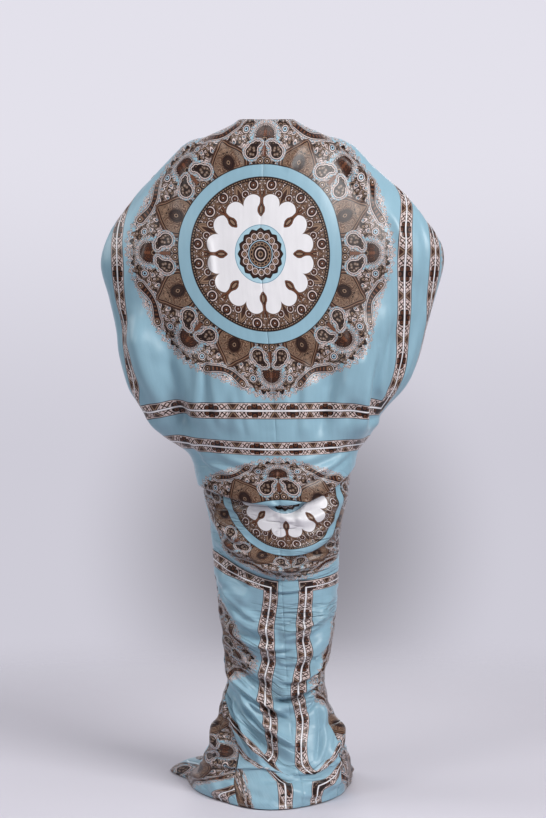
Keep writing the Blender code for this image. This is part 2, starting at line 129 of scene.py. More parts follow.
# Degrees that the side seam lies in front of the side point, or behind it where less than 0
SEAM_FORWARD = {
    "elbow": 6, "below elbow": 22, "wrist": 33, "hand": 37, "slit end": 36, "cape corner": 30,
    "cape edge": 22, "drawn in": 14, "hip": 8, "under cape": 4, "above fold": 2,
    "tightest": -9, "ankle": -32, "flare": -43, "low fold": -45, "low fold edge": -45, "low fold top": -45,
    "low fold inside": -45, "hem roll": -46, "pool": -48, "hem": -50,
}
# Half the width of the hand slit in the side seam, and how far each side parts more in the skirt's low fold
SLIT_HALF_WIDTH = {
    "below elbow": 0.0004, "wrist": 0.028, "hand": 0.036, "slit end": 0.024, "cape corner": 0.0004,
    "low fold": 0.0011, "low fold edge": 0.0013, "low fold top": 0.0009, "low fold inside": 0.0005,
}
# How much a ring follows the outline of the hem on the floor
POOL_SHARE = {
    "low fold": 0.06, "low fold edge": 0.14, "low fold top": 0.20, "low fold inside": 0.28,
    "hem roll": 0.48, "pool": 0.86, "hem": 1.00,
}
# How much of the folds a ring takes, where that is not all of them
FOLD_SHARE = {
    "neck edge": 0, "neck base": 0.5, "fold edge": 0.3, "fold turned in": 0, "fold top": 0,
    "fold inside": 0, "below fold": 0.5, "low fold": 0.6, "low fold edge": 0, "low fold top": 0,
    "low fold inside": 0, "hem roll": 0.2, "pool": 0.4, "hem": 0,
}
RING_NAMES = [row[0] for row in RINGS]
KNEE, FLARE, HEM_ROLL = (RING_NAMES.index(name) for name in ("knee seam", "flare", "hem roll"))

# The outline of the hem on the floor: degrees from the back, towards the wearer's right, and reach from the
# middle of the outline, which lies HEM_FORWARD in front of the origin. HEM_TURN: how many degrees to the
# wearer's right of the middle the centre back seam meets the hem.
HEM_FORWARD = 0.020
HEM_TURN = 22
HEM = (
    (-180, 0.190), (-152, 0.215), (-129, 0.300), (-112, 0.205), (-80, 0.168), (-40, 0.164), (0, 0.207),
    (35, 0.190), (60, 0.181), (88, 0.183), (112, 0.212), (128, 0.246), (150, 0.212),
)

# One row for each fold, as a curve through three points, seen from behind or from in front: each point's
# sideways place and its height above the floor, then width and rise. Cloth above the curve stands out and
# cloth below it lies in by the rise, each over about the width.
BACK_FOLDS = (
    # Soft upright folds where the cape is drawn in
    (-322, 1120, -282, 975, -222, 850, 26, 12),
    (-232, 1010, -208, 920, -168, 830, 22, 9),
    (-100, 960, -90, 880, -75, 800, 24, 5),
    (196, 862, 240, 960, 285, 1110, 26, 12),
    (146, 838, 186, 920, 206, 1020, 22, 9),
    (100, 800, 112, 880, 120, 960, 24, 5),
    # Creases over the shoulders
    (-110, 1498, -190, 1440, -268, 1370, 20, 6),
    (268, 1370, 190, 1440, 105, 1500, 20, 6),
    # Bowed folds below the bloused fold
    (182, 712, 96, 646, 30, 655, 15, 12),
    (-140, 640, -75, 562, 10, 530, 16, 9),
    (-134, 592, -32, 513, 95, 515, 17, 14),
    (30, 545, 95, 556, 160, 600, 16, 8),
    # Bowed folds of the ruched skirt
    (-125, 505, -88, 455, -35, 430, 17, 10),
    (-119, 466, -62, 392, 22, 362, 18, 12),
    (22, 350, 92, 372, 155, 424, 18, 12),
    (-112, 408, -56, 342, 50, 314, 18, 10),
    (40, 300, 100, 318, 150, 370, 17, 8),
    (-106, 352, -50, 285, 20, 262, 18, 9),
    (0, 243, 80, 243, 144, 318, 17, 14),
    (0, 198, 66, 206, 136, 256, 17, 12),
    (-104, 290, -60, 222, 8, 180, 22, 14),
    (-90, 228, -20, 146, 85, 90, 22, 15),
    (-104, 205, -66, 128, -8, 70, 24, 14),
    (158, 180, 136, 130, 146, 85, 22, 11),
    (-140, 170, -136, 125, -122, 85, 22, 11),
)
FRONT_FOLDS = (
    (-300, 1040, -240, 940, -180, 850, 26, 12),
    (180, 850, 240, 940, 300, 1040, 26, 12),
    (-170, 1060, -150, 950, -115, 840, 24, 10),
    (120, 840, 155, 950, 178, 1060, 24, 10),
    (-50, 1000, -46, 910, -36, 820, 24, 7),
    (45, 820, 55, 910, 60, 1000, 24, 7),
    (-170, 1420, -80, 1345, 0, 1330, 22, 6),
    (0, 1330, 80, 1345, 170, 1420, 22, 6),
    (-140, 655, -40, 585, 110, 590, 17, 12),
    (-126, 590, -10, 530, 156, 590, 17, 11),
    (-118, 490, -30, 425, 90, 420, 18, 12),
    (-50, 376, 50, 372, 152, 450, 18, 12),
    (-108, 400, -30, 326, 80, 312, 18, 11),
    (-50, 262, 50, 262, 142, 340, 18, 13),
    (-104, 310, -40, 225, 60, 198, 18, 13),
    (-20, 150, 70, 160, 148, 230, 18, 12),
    (-115, 210, -70, 130, 10, 92, 19, 13),
    (-200, 52, -160, 55, -110, 90, 18, 10),
)

# Finer creases, in the same columns as the folds
BACK_CREASES = (
    # Cape, the broad soft folds that end at the border band
    (-206, 790, -243, 935, -262, 1095, 44, 24),
    (-165, 1020, -170, 915, -152, 800, 60, 10),
    (214, 790, 227, 935, 232, 1095, 27, 20),
    (150, 1020, 150, 915, 138, 800, 60, 10),
    # Notch under the bloused fold
    (86, 682, 70, 652, 54, 634, 10, 10),
    (54, 634, 30, 650, 2, 680, 10, 10),
    # Cape, on and below the border band and where its edge turns in
    (-105, 860, -92, 920, -85, 990, 18, 6),
    (60, 855, 52, 915, 56, 975, 18, 5),
    (262, 895, 268, 975, 276, 1070, 11, 6.5),
    (-150, 872, -146, 930, -140, 1000, 13, 6),
    (-138, 1263, -131, 1203, -122, 1118, 8, 4.5),
    (150, 1060, 162, 985, 150, 905, 14, 6),
    (-300, 930, -272, 885, -232, 862, 9, 6),
    (275, 870, 245, 846, 205, 838, 9, 6),
    # Cape, above and beside the drawn-in waist
    (-262, 1052, -233, 929, -178, 834, 13, 5.3),
    (-142, 1018, -126, 914, -102, 814, 13, 4.5),
    (-71, 1003, -60, 900, -40, 803, 12, 3),
    (241, 1052, 214, 929, 176, 829, 13, 5.3),
    (143, 1018, 145, 914, 127, 814, 13, 4.5),
    (72, 996, 74, 896, 65, 803, 12, 3),
    (-346, 1141, -320, 1029, -284, 929, 12, 4.5),
    (349, 1118, 327, 1018, 294, 929, 12, 4.5),
    (-240, 1341, -284, 1252, -315, 1152, 20, 4.5),
    (249, 1330, 294, 1241, 321, 1141, 20, 4.5),
    (-160, 1452, -195, 1396, -226, 1330, 16, 3.7),
    (149, 1452, 187, 1396, 223, 1330, 16, 3.7),
    (-102, 1487, -71, 1452, -49, 1407, 12, 2.3),
    (80, 1487, 54, 1452, 32, 1403, 12, 2.3),
    # Bloused fold and hips
    (-160, 774, -120, 740, -62, 718, 9, 5),
    (-140, 785, -62, 749, 9, 740, 9.9, 3.1),
    (67, 714, 138, 740, 187, 780, 9, 5),
    (49, 749, 127, 767, 183, 807, 9.9, 3.1),
    (-182, 807, -151, 774, -106, 758, 9, 3.7),
    (-120, 678, -80, 647, -22, 636, 8.1, 5),
    (72, 645, 138, 669, 167, 718, 8.1, 5),
    (-124, 629, -84, 589, -26, 567, 8.1, 5.6),
    (54, 580, 120, 600, 160, 640, 8.1, 5),
    (-120, 602, -71, 556, 0, 536, 7.2, 5),
    (-24, 525, 49, 514, 112, 525, 6.6, 7.8),
    (72, 531, 120, 540, 156, 567, 7.2, 4.4),
    # Ruched skirt
    (0, 471, 45, 467, 85, 474, 5.3, 7.2),
    (-109, 518, -66, 498, -40, 474, 6.6, 5.2),
    (-109, 474, -75, 434, -13, 393, 7.4, 7.8),
    (-80, 411, -57, 389, -22, 373, 5.7, 4.6),
    (54, 402, 112, 416, 152, 451, 6.6, 5.2),
    (23, 369, 94, 391, 148, 431, 7.4, 9.1),
    (-69, 367, -13, 340, 67, 338, 7.4, 7.8),
    (-62, 351, -44, 329, -22, 311, 5.7, 3.9),
    (98, 311, 125, 329, 143, 351, 5.7, 5.2),
    (18, 309, 43, 302, 67, 307, 4.9, 3.9),
    (-102, 391, -80, 345, -31, 285, 6.6, 7.8),
    (-97, 329, -69, 278, -26, 236, 6.6, 7.8),
    (18, 265, 87, 273, 132, 331, 6.6, 11.1),
    (0, 224, 78, 238, 128, 282, 6.6, 12.3),
    (-95, 293, -40, 233, 60, 176, 6.6, 12.3),
    (83, 199, 100, 211, 116, 229, 5.7, 6.5),
    (-64, 236, -11, 167, 80, 109, 6.6, 11.7),
    (-89, 229, -55, 147, -2, 64, 6.6, 11.7),
    (-40, 224, -11, 196, 36, 180, 4.9, 5.2),
    (112, 220, 123, 151, 107, 84, 8.2, 7.8),
    (138, 229, 152, 162, 147, 96, 8.2, 7.8),
    (-49, 136, -13, 96, 32, 78, 6.6, 5.2),
    (-102, 251, -106, 173, -111, 107, 8.2, 6.5),
)
FRONT_CREASES = (
    (-255, 1050, -205, 935, -160, 840, 13, 5.3),
    (262, 1040, 222, 930, 170, 836, 13, 5.3),
    (-112, 1020, -104, 920, -78, 822, 13, 4.5),
    (104, 1012, 100, 915, 82, 818, 13, 4.5),
    (-340, 1130, -310, 1020, -272, 925, 12, 4.5),
    (345, 1120, 318, 1015, 285, 925, 12, 4.5),
    (-120, 1400, -60, 1320, 10, 1300, 16, 4.5),
    (-10, 1280, 70, 1300, 130, 1380, 16, 4.5),
    (-150, 770, -80, 738, 0, 728, 9, 4.4),
    (40, 735, 110, 745, 175, 785, 9, 4.4),
    (-120, 670, -70, 630, 0, 610, 8.1, 5),
    (30, 560, 100, 572, 155, 620, 8.1, 5),
    (-120, 555, -60, 512, 20, 500, 7.2, 5),
    (-110, 455, -60, 395, 0, 375, 7.4, 7.2),
    (20, 398, 90, 408, 150, 455, 6.6, 6.5),
    (-100, 355, -50, 300, 10, 285, 6.6, 6.5),
    (10, 290, 80, 300, 140, 360, 6.6, 8.4),
    (-95, 270, -30, 200, 60, 172, 6.6, 9.7),
    (0, 215, 70, 225, 140, 290, 6.6, 9.7),
    (-100, 185, -50, 118, 20, 75, 7.4, 9.1),
    (20, 110, 90, 125, 150, 185, 7.4, 7.8),
    (120, 215, 136, 150, 125, 85, 8.2, 6.5),
)

# The shape of every fold and crease, in widths from its curve, and how it fades at its ends and at the sides
FOLD_SAMPLES = 49
FOLD_REACH = 3.2
RIDGE_PLACE = 0.7
TROUGH_PLACE = -0.5
TROUGH_WIDTH = 0.7
TROUGH_SHARE = 0.8
FADE = 0.22
SIDE_BLEND = 0.5

# Soft ripples of the cloth between its folds: the heights they lie between, over how much height they fade
# there, the size of one ripple across and up, how far it leans across for each metre up, and its rise
RIPPLES = (
    (0.80, 1.56, 0.06, 0.110, 0.170, 0.00, 0.0038),
    (0.80, 1.56, 0.08, 0.038, 0.190, 0.10, 0.0016),
    (0.79, 1.00, 0.10, 0.018, 0.120, 0.00, 0.0007),
    (0.50, 0.82, 0.04, 0.080, 0.019, 0.00, 0.0010),
    (0.02, 0.58, 0.05, 0.070, 0.015, 0.00, 0.0016),
    (0.02, 0.50, 0.05, 0.034, 0.0085, 0.00, 0.0006),
    (0.02, 0.30, 0.05, 0.050, 0.030, -0.60, 0.0013),
)
NOISE_CELLS = 64
# How the ripples differ from place to place. sway: size of such a place, how many ripples they are moved
# across, and how much more they are moved up. strength: size of such a place, the middle and the change.
RIPPLE_SWAY = (0.15, 0.6, 1.5)
RIPPLE_STRENGTH = (0.09, 0.6, 0.6)
# Seeds of the first ripples, and the cells between one row's random values and the next
RIPPLE_SEED, SWAY_SEED, STRENGTH_SEED = 20, 40, 60
RIPPLE_STEP = 7
# Least share of the ripples, where the folds have none
LEAST_RIPPLE = 0.25

# The skirt's low fold round the body: angle from the centre back, how much higher its edge lies, and how far
# it is let down into one smooth slope. LOW_FOLD_BLEND: the share of the fold over which this begins and ends.
LOW_FOLD = (
    (-180, 0.000, 0.25), (-120, 0.006, 0.40), (-80, 0.000, 0.45), (-45, 0.006, 0.30), (-26, 0.010, 0.35),
    (-9, -0.010, 0.62), (13, -0.005, 0.42), (28, 0.003, 0.55), (40, 0.012, 0.30), (53, 0.026, 0.35),
    (80, 0.014, 0.50), (125, 0.004, 0.30), (180, 0.000, 0.25),
)
LOW_FOLD_BLEND = 0.25
# Folds where the hem lies on the floor: middle angle and ring, half lengths round and down, lean in rings for
# each degree, and how far each pushes out
POOL_FOLDS = (
    (22, 5.1, 17, 0.30, 0.020, 0.0060), (40, 5.7, 16, 0.28, -0.025, -0.0050),
    (58, 5.3, 12, 0.30, -0.020, 0.0060), (-12, 5.2, 13, 0.28, 0.022, 0.0055),
    (-30, 5.6, 12, 0.28, 0.025, -0.0050), (-46, 5.1, 9, 0.40, 0.030, 0.0060),
    (-62, 5.6, 7, 0.70, 0.040, 0.0065), (-74, 5.5, 5, 0.80, 0.030, -0.0060),
    (5, 5.8, 10, 0.25, 0.020, 0.0040), (100, 5.4, 14, 0.32, 0.020, 0.0055),
    (135, 5.6, 15, 0.30, -0.020, 0.0055), (170, 5.3, 16, 0.30, 0.020, 0.0055),
    (-100, 5.5, 12, 0.35, -0.025, 0.0060), (-135, 5.4, 15, 0.30, 0.020, 0.0055),
    (-160, 5.7, 12, 0.28, -0.020, -0.0045),
)
# Rings past the flare where these folds begin, the rings that they take to grow, and to fade at the hem
POOL_SHOWN = (0.6, 1.2, 0.7)
# Small roughness there: how far it pushes out, its cells' degrees and rings, and its place and seed
POOL_ROUGHNESS = 0.0030
POOL_CELL = (11, 0.9)
POOL_PLACE = 40
POOL_SEED = 81

# Seams, with their puckers and the seeds of these, and turned edges
SEAM_DEPTH = 0.0009
SEAM_WIDTH = 0.0030
PUCKER_RISE = 0.0008
PUCKER_REACH = 0.014
PUCKER_SIZE = 0.012
PUCKER_ROW = 3
PUCKER_SEEDS = {"top": 93, "left": 94, "right": 95, "bottom": 96}
TURNING = 0.007
TURNING_RISE = 0.0005
TURNING_EDGE = 0.0012
# Half width of a hand slit from which its edge is hemmed in full
SLIT_HEMMED = 0.01


def by_ring(values, usual):
    return np.array([values.get(name, usual) for name in RING_NAMES], float)


RING = dict(zip(RING_COLUMNS, np.array([row[1:] for row in RINGS]).T / TABLE_UNITS))
RING["seam"] = by_ring(SEAM_FORWARD, 0)
RING["slit"] = by_ring(SLIT_HALF_WIDTH, 0)
RING["pool"] = by_ring(POOL_SHARE, 0)
RING["folds"] = by_ring(FOLD_SHARE, 1)


def smooth(values, at):
    """The values at fractional rows, on a smooth curve through every row."""
    last = len(values) - 1
    low = np.clip(np.floor(at).astype(int), 0, last - 1)
    part = at - low
    before = values[np.maximum(low - 1, 0)]
    start = values[low]
    end = values[low + 1]
    after = values[np.minimum(low + 2, last)]
    lean_in = (end - before) / 2
    lean_out = (after - start) / 2
    rise = end - start
    square = 3 * rise - 2 * lean_in - lean_out
    cube = lean_in + lean_out - 2 * rise
    return start + part * (lean_in + part * (square + part * cube))


def wrapped(angle):
    """The same direction, from -180 to 180 degrees."""
    return (angle + 180) % 360 - 180


def hem_reach(angle):
    """Reach of the hem's outline at each angle, in degrees, all the way round."""
    angles, reach = np.array(HEM).T
    angles = np.concatenate([angles[-2:] - 360, angles, angles[:2] + 360])
    reach = np.concatenate([reach[-2:], reach, reach[:2]])
    return smooth(reach, np.interp(wrapped(angle), angles, np.arange(len(angles))))


def shares(angle):
    """Sine and cosine of an angle, and how much a place there takes of the back, the front and the side."""
    turn = np.radians(angle)
    sine, cosine = np.sin(turn), np.cos(turn)
    back = np.maximum(cosine, 0) ** 2
    front = np.maximum(-cosine, 0) ** FRONT_DROOP
    return sine, cosine, back, front, 1 - back - front


def bare(angle, ring):
    """Points of the garment without its folds. angle is in degrees from the centre back."""
    sine, cosine, back_share, front_share, side_share = shares(angle)
    rightward = sine > 0
    at = {name: smooth(RING[name], ring) for name in RING}
    high_side = np.where(rightward, at["high_right"], at["high_left"])
    high = at["high_back"] * back_share + high_side * side_share + at["high_front"] * front_share
    reach = np.where(rightward, at["right"], at["left"])
    depth = np.where(cosine > 0, -at["back"], at["front"])
    shift = at["middle"] * (back_share + front_share / 2)
    across = np.sign(sine) * reach * np.abs(sine) ** at["fullness"] + shift
    along = depth * np.abs(cosine) ** at["fullness"] + at["tip"] * side_share
    pool = np.clip(at["pool"], 0, 1)
    hem_turn = np.radians(angle) + np.radians(HEM_TURN) * (1 + cosine) / 2
    hem = hem_reach(np.degrees(hem_turn))
    across = across * (1 - pool) + np.sin(hem_turn) * hem * pool
    along = along * (1 - pool) + (HEM_FORWARD - np.cos(hem_turn) * hem) * pool
    return np.stack([across, along, high - SHOULDER_HEIGHT], axis=-1)


def facing(place, angle, ring):
    """The outward direction of the surface that `place` describes."""
    out = np.cross(*surface_steps(place, angle, ring))
    return out / np.linalg.norm(out, axis=-1, keepdims=True)


def surface_steps(place, angle, ring):
    """A short step down the surface and one along the ring, through each point."""
    above = np.maximum(ring - RING_STEP, 0)
    below = np.minimum(ring + RING_STEP, len(RINGS) - 1)
    down = place(angle, below) - place(angle, above)
    along = place(angle + TURN_STEP, ring) - place(angle - TURN_STEP, ring)
    return down, along


def fold_lift(across, high, folds):
    """How far the folds push each point out, in metres."""
    lift = np.zeros_like(across)
    part = np.linspace(0, 1, FOLD_SAMPLES)
    step = part[:, None]
    for row in folds:
        *points, width, rise = np.array(row) / TABLE_UNITS
        start, middle, end = np.reshape(points, (3, 2))
        bend = 2 * middle - (start + end) / 2
        line = (1 - step) ** 2 * start + 2 * step * (1 - step) * bend + step ** 2 * end
        lean = np.gradient(line, part, axis=0)
        speed = np.linalg.norm(lean, axis=1)
        lean /= speed[:, None]
        low, top = line.min(axis=0) - FOLD_REACH * width, line.max(axis=0) + FOLD_REACH * width
        close = (across > low[0]) & (across < top[0]) & (high > low[1]) & (high < top[1])
        if not close.any():
            continue
        x, y = across[close], high[close]
        near = np.argmin((x[:, None] - line[:, 0]) ** 2 + (y[:, None] - line[:, 1]) ** 2, axis=-1)
        x, y = x - line[near, 0], y - line[near, 1]
        tangent = lean[near]
        over = (y * tangent[:, 0] - x * tangent[:, 1]) / width
        along = x * tangent[:, 0] + y * tangent[:, 1]
        outside = (near == 0) & (along < 0) | (near == FOLD_SAMPLES - 1) & (along > 0)
        past = np.where(outside, along, 0) / width
        place = part[near] + along / speed[near]
        ridge = np.exp(-((over - RIDGE_PLACE) ** 2))
        trough = np.exp(-(((over - TROUGH_PLACE) / TROUGH_WIDTH) ** 2))
        fade = ramp(np.minimum(place, 1 - place) / FADE) * np.exp(-(past ** 2))
        lift[close] += rise * fade * (ridge - TROUGH_SHARE * trough)
    return lift


def soft_noise(x, y, seed):
    """Smooth random values between -1 and 1 over a plane, one cell to each unit."""
    lattice = np.random.default_rng(seed).uniform(-1, 1, (NOISE_CELLS, NOISE_CELLS))
    column, row = np.floor(x).astype(int), np.floor(y).astype(int)
    part_x, part_y = x - column, y - row
    ease_x = part_x ** 3 * (part_x * (6 * part_x - 15) + 10)
    ease_y = part_y ** 3 * (part_y * (6 * part_y - 15) + 10)

    def corner(right, up):
        return lattice[(row + up) % NOISE_CELLS, (column + right) % NOISE_CELLS]

    below = corner(0, 0) * (1 - ease_x) + corner(1, 0) * ease_x
    above = corner(0, 1) * (1 - ease_x) + corner(1, 1) * ease_x
    return below * (1 - ease_y) + above * ease_y


def ramp(value):
    value = np.clip(value, 0, 1)
    return value * value * (3 - 2 * value)


def ripple_lift(across, high):
    """How far the soft ripples push each point out. across runs round the body, in metres."""
    lift = np.zeros_like(across)
    sway_size, sway_across, sway_up = RIPPLE_SWAY
    strength_size, middle, change = RIPPLE_STRENGTH
    for k, (low, top, blend, wide, tall, slant, rise) in enumerate(RIPPLES):
        inside = ramp((high - low) / blend) * ramp((top - high) / blend)
        sway = sway_across * soft_noise(across / sway_size + k, high / sway_size, SWAY_SEED + k)
        uneven = soft_noise(across / strength_size, high / strength_size + k, STRENGTH_SEED + k)
        x = (across - slant * high) / wide + sway
        y = high / tall + sway_up * sway
        shape = soft_noise(x + RIPPLE_STEP * k, y, RIPPLE_SEED + k)
        lift += inside * (middle + change * uneven) * rise * shape
    return lift


def laid(angles, rings):
    """Points of the cloth without its folds, with the skirt's low fold uneven as it lies."""
    place = bare(angles, rings)
    part = np.clip((rings - FLARE) / (HEM_ROLL - FLARE), 0, 1)
    inside = ramp(part / LOW_FOLD_BLEND) * ramp((1 - part) / LOW_FOLD_BLEND)
    at, rise, let_down = np.array(LOW_FOLD).T
    level = np.interp(wrapped(angles), at, let_down) * inside
    top, bottom = bare(angles, rings * 0 + FLARE), bare(angles, rings * 0 + HEM_ROLL)
    slope = top * (1 - part)[..., None] + bottom * part[..., None]
    place = place * (1 - level)[..., None] + slope * level[..., None]
    place[..., 2] += np.interp(wrapped(angles), at, rise) * inside
    return place


def pool_lift(angles, rings):
    """How far the folds of the hem on the floor push each point out."""
    turned = wrapped(angles)
    past = rings - FLARE
    start, grow, fade = POOL_SHOWN
    shown = ramp((past - start) / grow) * ramp((len(RINGS) - 1 - rings) / fade)
    wide, tall = POOL_CELL
    lift = POOL_ROUGHNESS * soft_noise(turned / wide + POOL_PLACE, past / tall, POOL_SEED)
    for angle, ring, wide, tall, lean, rise in POOL_FOLDS:
        aside = wrapped(turned - angle)
        below = past - ring - lean * aside
        lift += rise * np.exp(-((aside / wide) ** 2) - (below / tall) ** 2)
    return lift * shown


def parting(angle, ring, width):
    """Degrees along the ring that part an edge from the seam through `angle` by `width`, square to it."""
    down, along = surface_steps(bare, angle, ring)
    square = np.linalg.norm(np.cross(along, down), axis=-1) / np.linalg.norm(down, axis=-1)
    length = np.linalg.norm(along, axis=-1)
    return width * 2 * TURN_STEP / np.maximum(square, LEAST_SQUARE * length)


def edge_angle(ring, side, towards_back):
    """The angle of a panel's edge at the side seam, past half the seam gap and half the hand slit."""
    seam = side * (90 + smooth(RING["seam"], ring))
    parted = SEAM_GAP / 2 + np.maximum(smooth(RING["slit"], ring), 0)
    return seam - side * towards_back * parting(seam, ring, parted)


def middle_angle(ring, side):
    return side * parting(np.zeros_like(ring), ring, SEAM_GAP / 2)


# Where the scarf print lies on the cloth at each ring. at_*: how far the ring lies up the cut from the
# middle of a print square. gather_*: how long the cloth is for each 1000 of the ring that it is drawn in
# to. aside: how far the print's middle lies to the right of the centre seam.
PRINT_COLUMNS = ("at_back", "at_left", "at_right", "at_front", "gather_left", "gather_right", "aside")
PRINT_TOP = {
    "neck edge": (309, 305, 305, 230, 1040, 1040, 0),
    "neck base": (293, 291, 291, 208, 1040, 1040, 0),
    "collar bone": (274, 273, 275, 183, 1040, 1040, 0),
    "shoulder": (243, 250, 251, 147, 1040, 1040, 0),
    "upper arm": (197, 197, 200, 108, 1040, 1040, 0),
    "arm": (136, 123, 131, 62, 1040, 1030, 0),
    "above elbow": (67, 48, 55, 13, 1050, 1080, 0),
    "elbow": (-7, -23, -13, -42, 1070, 1090, 0),
    "below elbow": (-88, -101, -98, -105, 1050, 1100, 0),
    "wrist": (-165, -176, -176, -172, 1050, 1120, 0),
    "hand": (-238, -247, -247, -242, 1080, 1150, 0),
    "slit end": (-300, -307, -307, -302, 1100, 1210, 0),
    "cape corner": (-352, -358, -358, -350, 1070, 1280, 0),
    "cape edge": (-395, -407, -400, -395, 1080, 1270, 0),
    "drawn in": (-426, -446, -431, -426, 1100, 1240, 0),
    "hip": (-459, -476, -451, -459, 1100, 1200, 0),
    "under cape": (-503, -504, -471, -503, 1080, 1140, 0),
    "above fold": (-570, -540, -493, -570, 1060, 1080, 0),
    "fold edge": (-617, -572, -512, -617, 1040, 1040, 6),
    "fold turned in": (-640, -620, -560, -640, 1200, 1200, 8),
    "fold top": (-720, -690, -620, -720, 1300, 1280, 10),
    "fold inside": (-780, -730, -660, -780, 1340, 1320, 10),
    "below fold": (-861, -825, -728, -861, 1370, 1340, 11),
    "thigh": (-917, -898, -821, -917, 1380, 1330, 14),
    "above knee": (-1004, -981, -949, -1004, 1400, 1320, 22),
    "knee seam": (-1144, -1062, -1118, -1144, 1370, 1300, 22),
}
PRINT_SKIRT = {
    "knee seam": (379, 381, 385, 379, 1100, 1100, 15),
    "below knee": (298, 326, 321, 298, 1100, 1100, 12),
    "calf": (197, 199, 205, 197, 1080, 1080, 2),
    "low calf": (79, -46, 90, 79, 1080, 1080, 1),
    "tightest": (-39, -272, -45, -39, 1200, 1200, -15),
    "ankle": (-151, -430, -231, -151, 1220, 1220, -8),
    "flare": (-253, -604, -431, -253, 1400, 1380, -16),
    "low fold": (-300, -760, -495, -300, 1100, 1080, -26),
    "low fold edge": (-345, -850, -510, -345, 1060, 1050, -12),
    "low fold top": (-370, -900, -520, -370, 1100, 1040, 0),
    "low fold inside": (-400, -950, -530, -400, 1120, 1040, 0),
    "hem roll": (-435, -1000, -545, -435, 1140, 1040, 0),
    "pool": (-470, -1080, -565, -470, 1150, 1040, 0),
    "hem": (-505, -1150, -585, -505, 1150, 1040, 0),
}
# The skirt's front panel, whose cloth runs past the side points to the seams behind them
PRINT_SKIRT_FRONT = {
    "knee seam": (700, 700, 670, 700, 1100, 1100, 0),
    "below knee": (625, 635, 605, 620, 1100, 1100, 0),
    "calf": (520, 525, 500, 520, 1080, 1080, 0),
    "low calf": (400, 390, 380, 400, 1060, 1060, 0),
    "tightest": (220, 215, 210, 280, 1020, 1000, 0),
    "ankle": (120, 130, 120, 170, 1000, 960, 0),
    "flare": (30, 25, 25, 60, 920, 880, 0),
    "low fold": (-25, -35, -30, 10, 800, 820, 0),
    "low fold edge": (-35, -50, -45, -35, 750, 800, 0),
    "low fold top": (-45, -65, -60, -60, 720, 790, 0),
    "low fold inside": (-55, -80, -75, -90, 700, 780, 0),
    "hem roll": (-70, -100, -95, -125, 670, 760, 0),
    "pool": (-90, -125, -120, -160, 640, 740, 0),
    "hem": (-115, -150, -145, -195, 610, 720, 0),
}
# The skirt's back is cut with a corner between print squares at its middle, so it starts half a square along
PRINT_SQUARE = 0.809
SKIRT_START = PRINT_SQUARE / 2
# How much more cloth is drawn in beside the seam at the upper flower, and how far along and up that reaches
PINCH = (0.024, 0.20, 0.25)
ARC_SAMPLES = 361


def print_places(angles, rings, rows, skirt, middle):
    """Place of each point on the print, in metres along and up the cut cloth."""
    table = (PRINT_SKIRT_FRONT if middle else PRINT_SKIRT) if skirt else PRINT_TOP
    first = KNEE if skirt else 0
    columns = np.array(list(table.values())).T / TABLE_UNITS
    at = {name: smooth(column, rings - first) for name, column in zip(PRINT_COLUMNS, columns)}
    turns = np.linspace(angles.min() - 1, angles.max() + 1, ARC_SAMPLES)
    line = bare(turns[None, :] + np.zeros((len(rows), 1)), np.repeat(rows[:, None], ARC_SAMPLES, axis=1))
    arcs = np.stack([
        np.interp(at_row, turns, length) - np.interp(middle, turns, length)
        for at_row, length in zip(angles, span_lengths(line, 1))
    ])
    if middle:
        arcs = -arcs
    sine, _, back_share, front_share, side_share = shares(angles)
    at_side = np.where(sine > 0, at["at_right"], at["at_left"])
    up = at["at_back"] * back_share + at["at_front"] * front_share + at_side * side_share
    gather = at["gather_left"] + (at["gather_right"] - at["gather_left"]) * ramp(0.5 + sine)
    along = gather * (arcs - at["aside"])
    if skirt:
        return np.stack([along + (0 if middle else SKIRT_START), up], axis=-1)
    drawn_in, wide, tall = PINCH
    along += drawn_in * along / wide * np.exp(-((along / wide) ** 2) - (up / tall) ** 2)
    return np.stack([along, up], axis=-1)


def span_lengths(points, axis):
    """Length of cloth from the first row or column to each point."""
    steps = np.linalg.norm(np.diff(points, axis=axis), axis=-1).cumsum(axis=axis)
    start = np.zeros_like(np.take(steps, [0], axis=axis))
    return np.concatenate([start, steps], axis=axis)


def edge_lengths(points):
    """Length of cloth from each point to each edge of its panel."""
    down, over = span_lengths(points, 0), span_lengths(points, 1)
    return {"top": down, "bottom": down[-1:] - down, "left": over, "right": over[:, -1:] - over}


def grid_rows(first, last, count, angles):
    """Fractional ring of each row of a panel, spaced partly by ring and partly by length of cloth."""
    fine = np.linspace(first, last, ROW_SAMPLES * int(np.ceil(last - first)) + 1)
    line = bare(np.array(angles)[:, None] + np.zeros(len(fine)), fine[None, :] + np.zeros((len(angles), 1)))
    length = span_lengths(line, 1).mean(axis=0)
    mixed = ROWS_BY_LENGTH * length / length[-1] + (1 - ROWS_BY_LENGTH) * np.linspace(0, 1, len(fine))
    return np.interp(np.linspace(0, 1, count + 1), mixed, fine)


def grid_angles(start, end, rows, columns):
    """Angles of the columns on each row, closer together along the panel's two edges."""
    fine = np.linspace(0, 1, LENGTH_SAMPLES * columns + 1)
    angles = start[:, None] + (end - start)[:, None] * fine
    points = bare(angles, np.repeat(rows[:, None], len(fine), axis=1))
    lengths = span_lengths(points, 1)
    mixed = COLUMNS_BY_LENGTH * lengths / lengths[:, -1:] + (1 - COLUMNS_BY_LENGTH) * fine
    even = np.linspace(0, 1, columns + 1)
    crowded = even - EDGE_CROWDING * np.sin(2 * np.pi * even) / (2 * np.pi)
    return np.stack([np.interp(crowded, mixed[k], angles[k]) for k in range(len(rows))])


def outward(points):
    """The outward direction of a grid of points whose rows go down and whose columns go to the right."""
    out = np.cross(np.gradient(points, axis=0), np.gradient(points, axis=1))
    return out / np.maximum(np.linalg.norm(out, axis=-1, keepdims=True), LEAST_LENGTH)


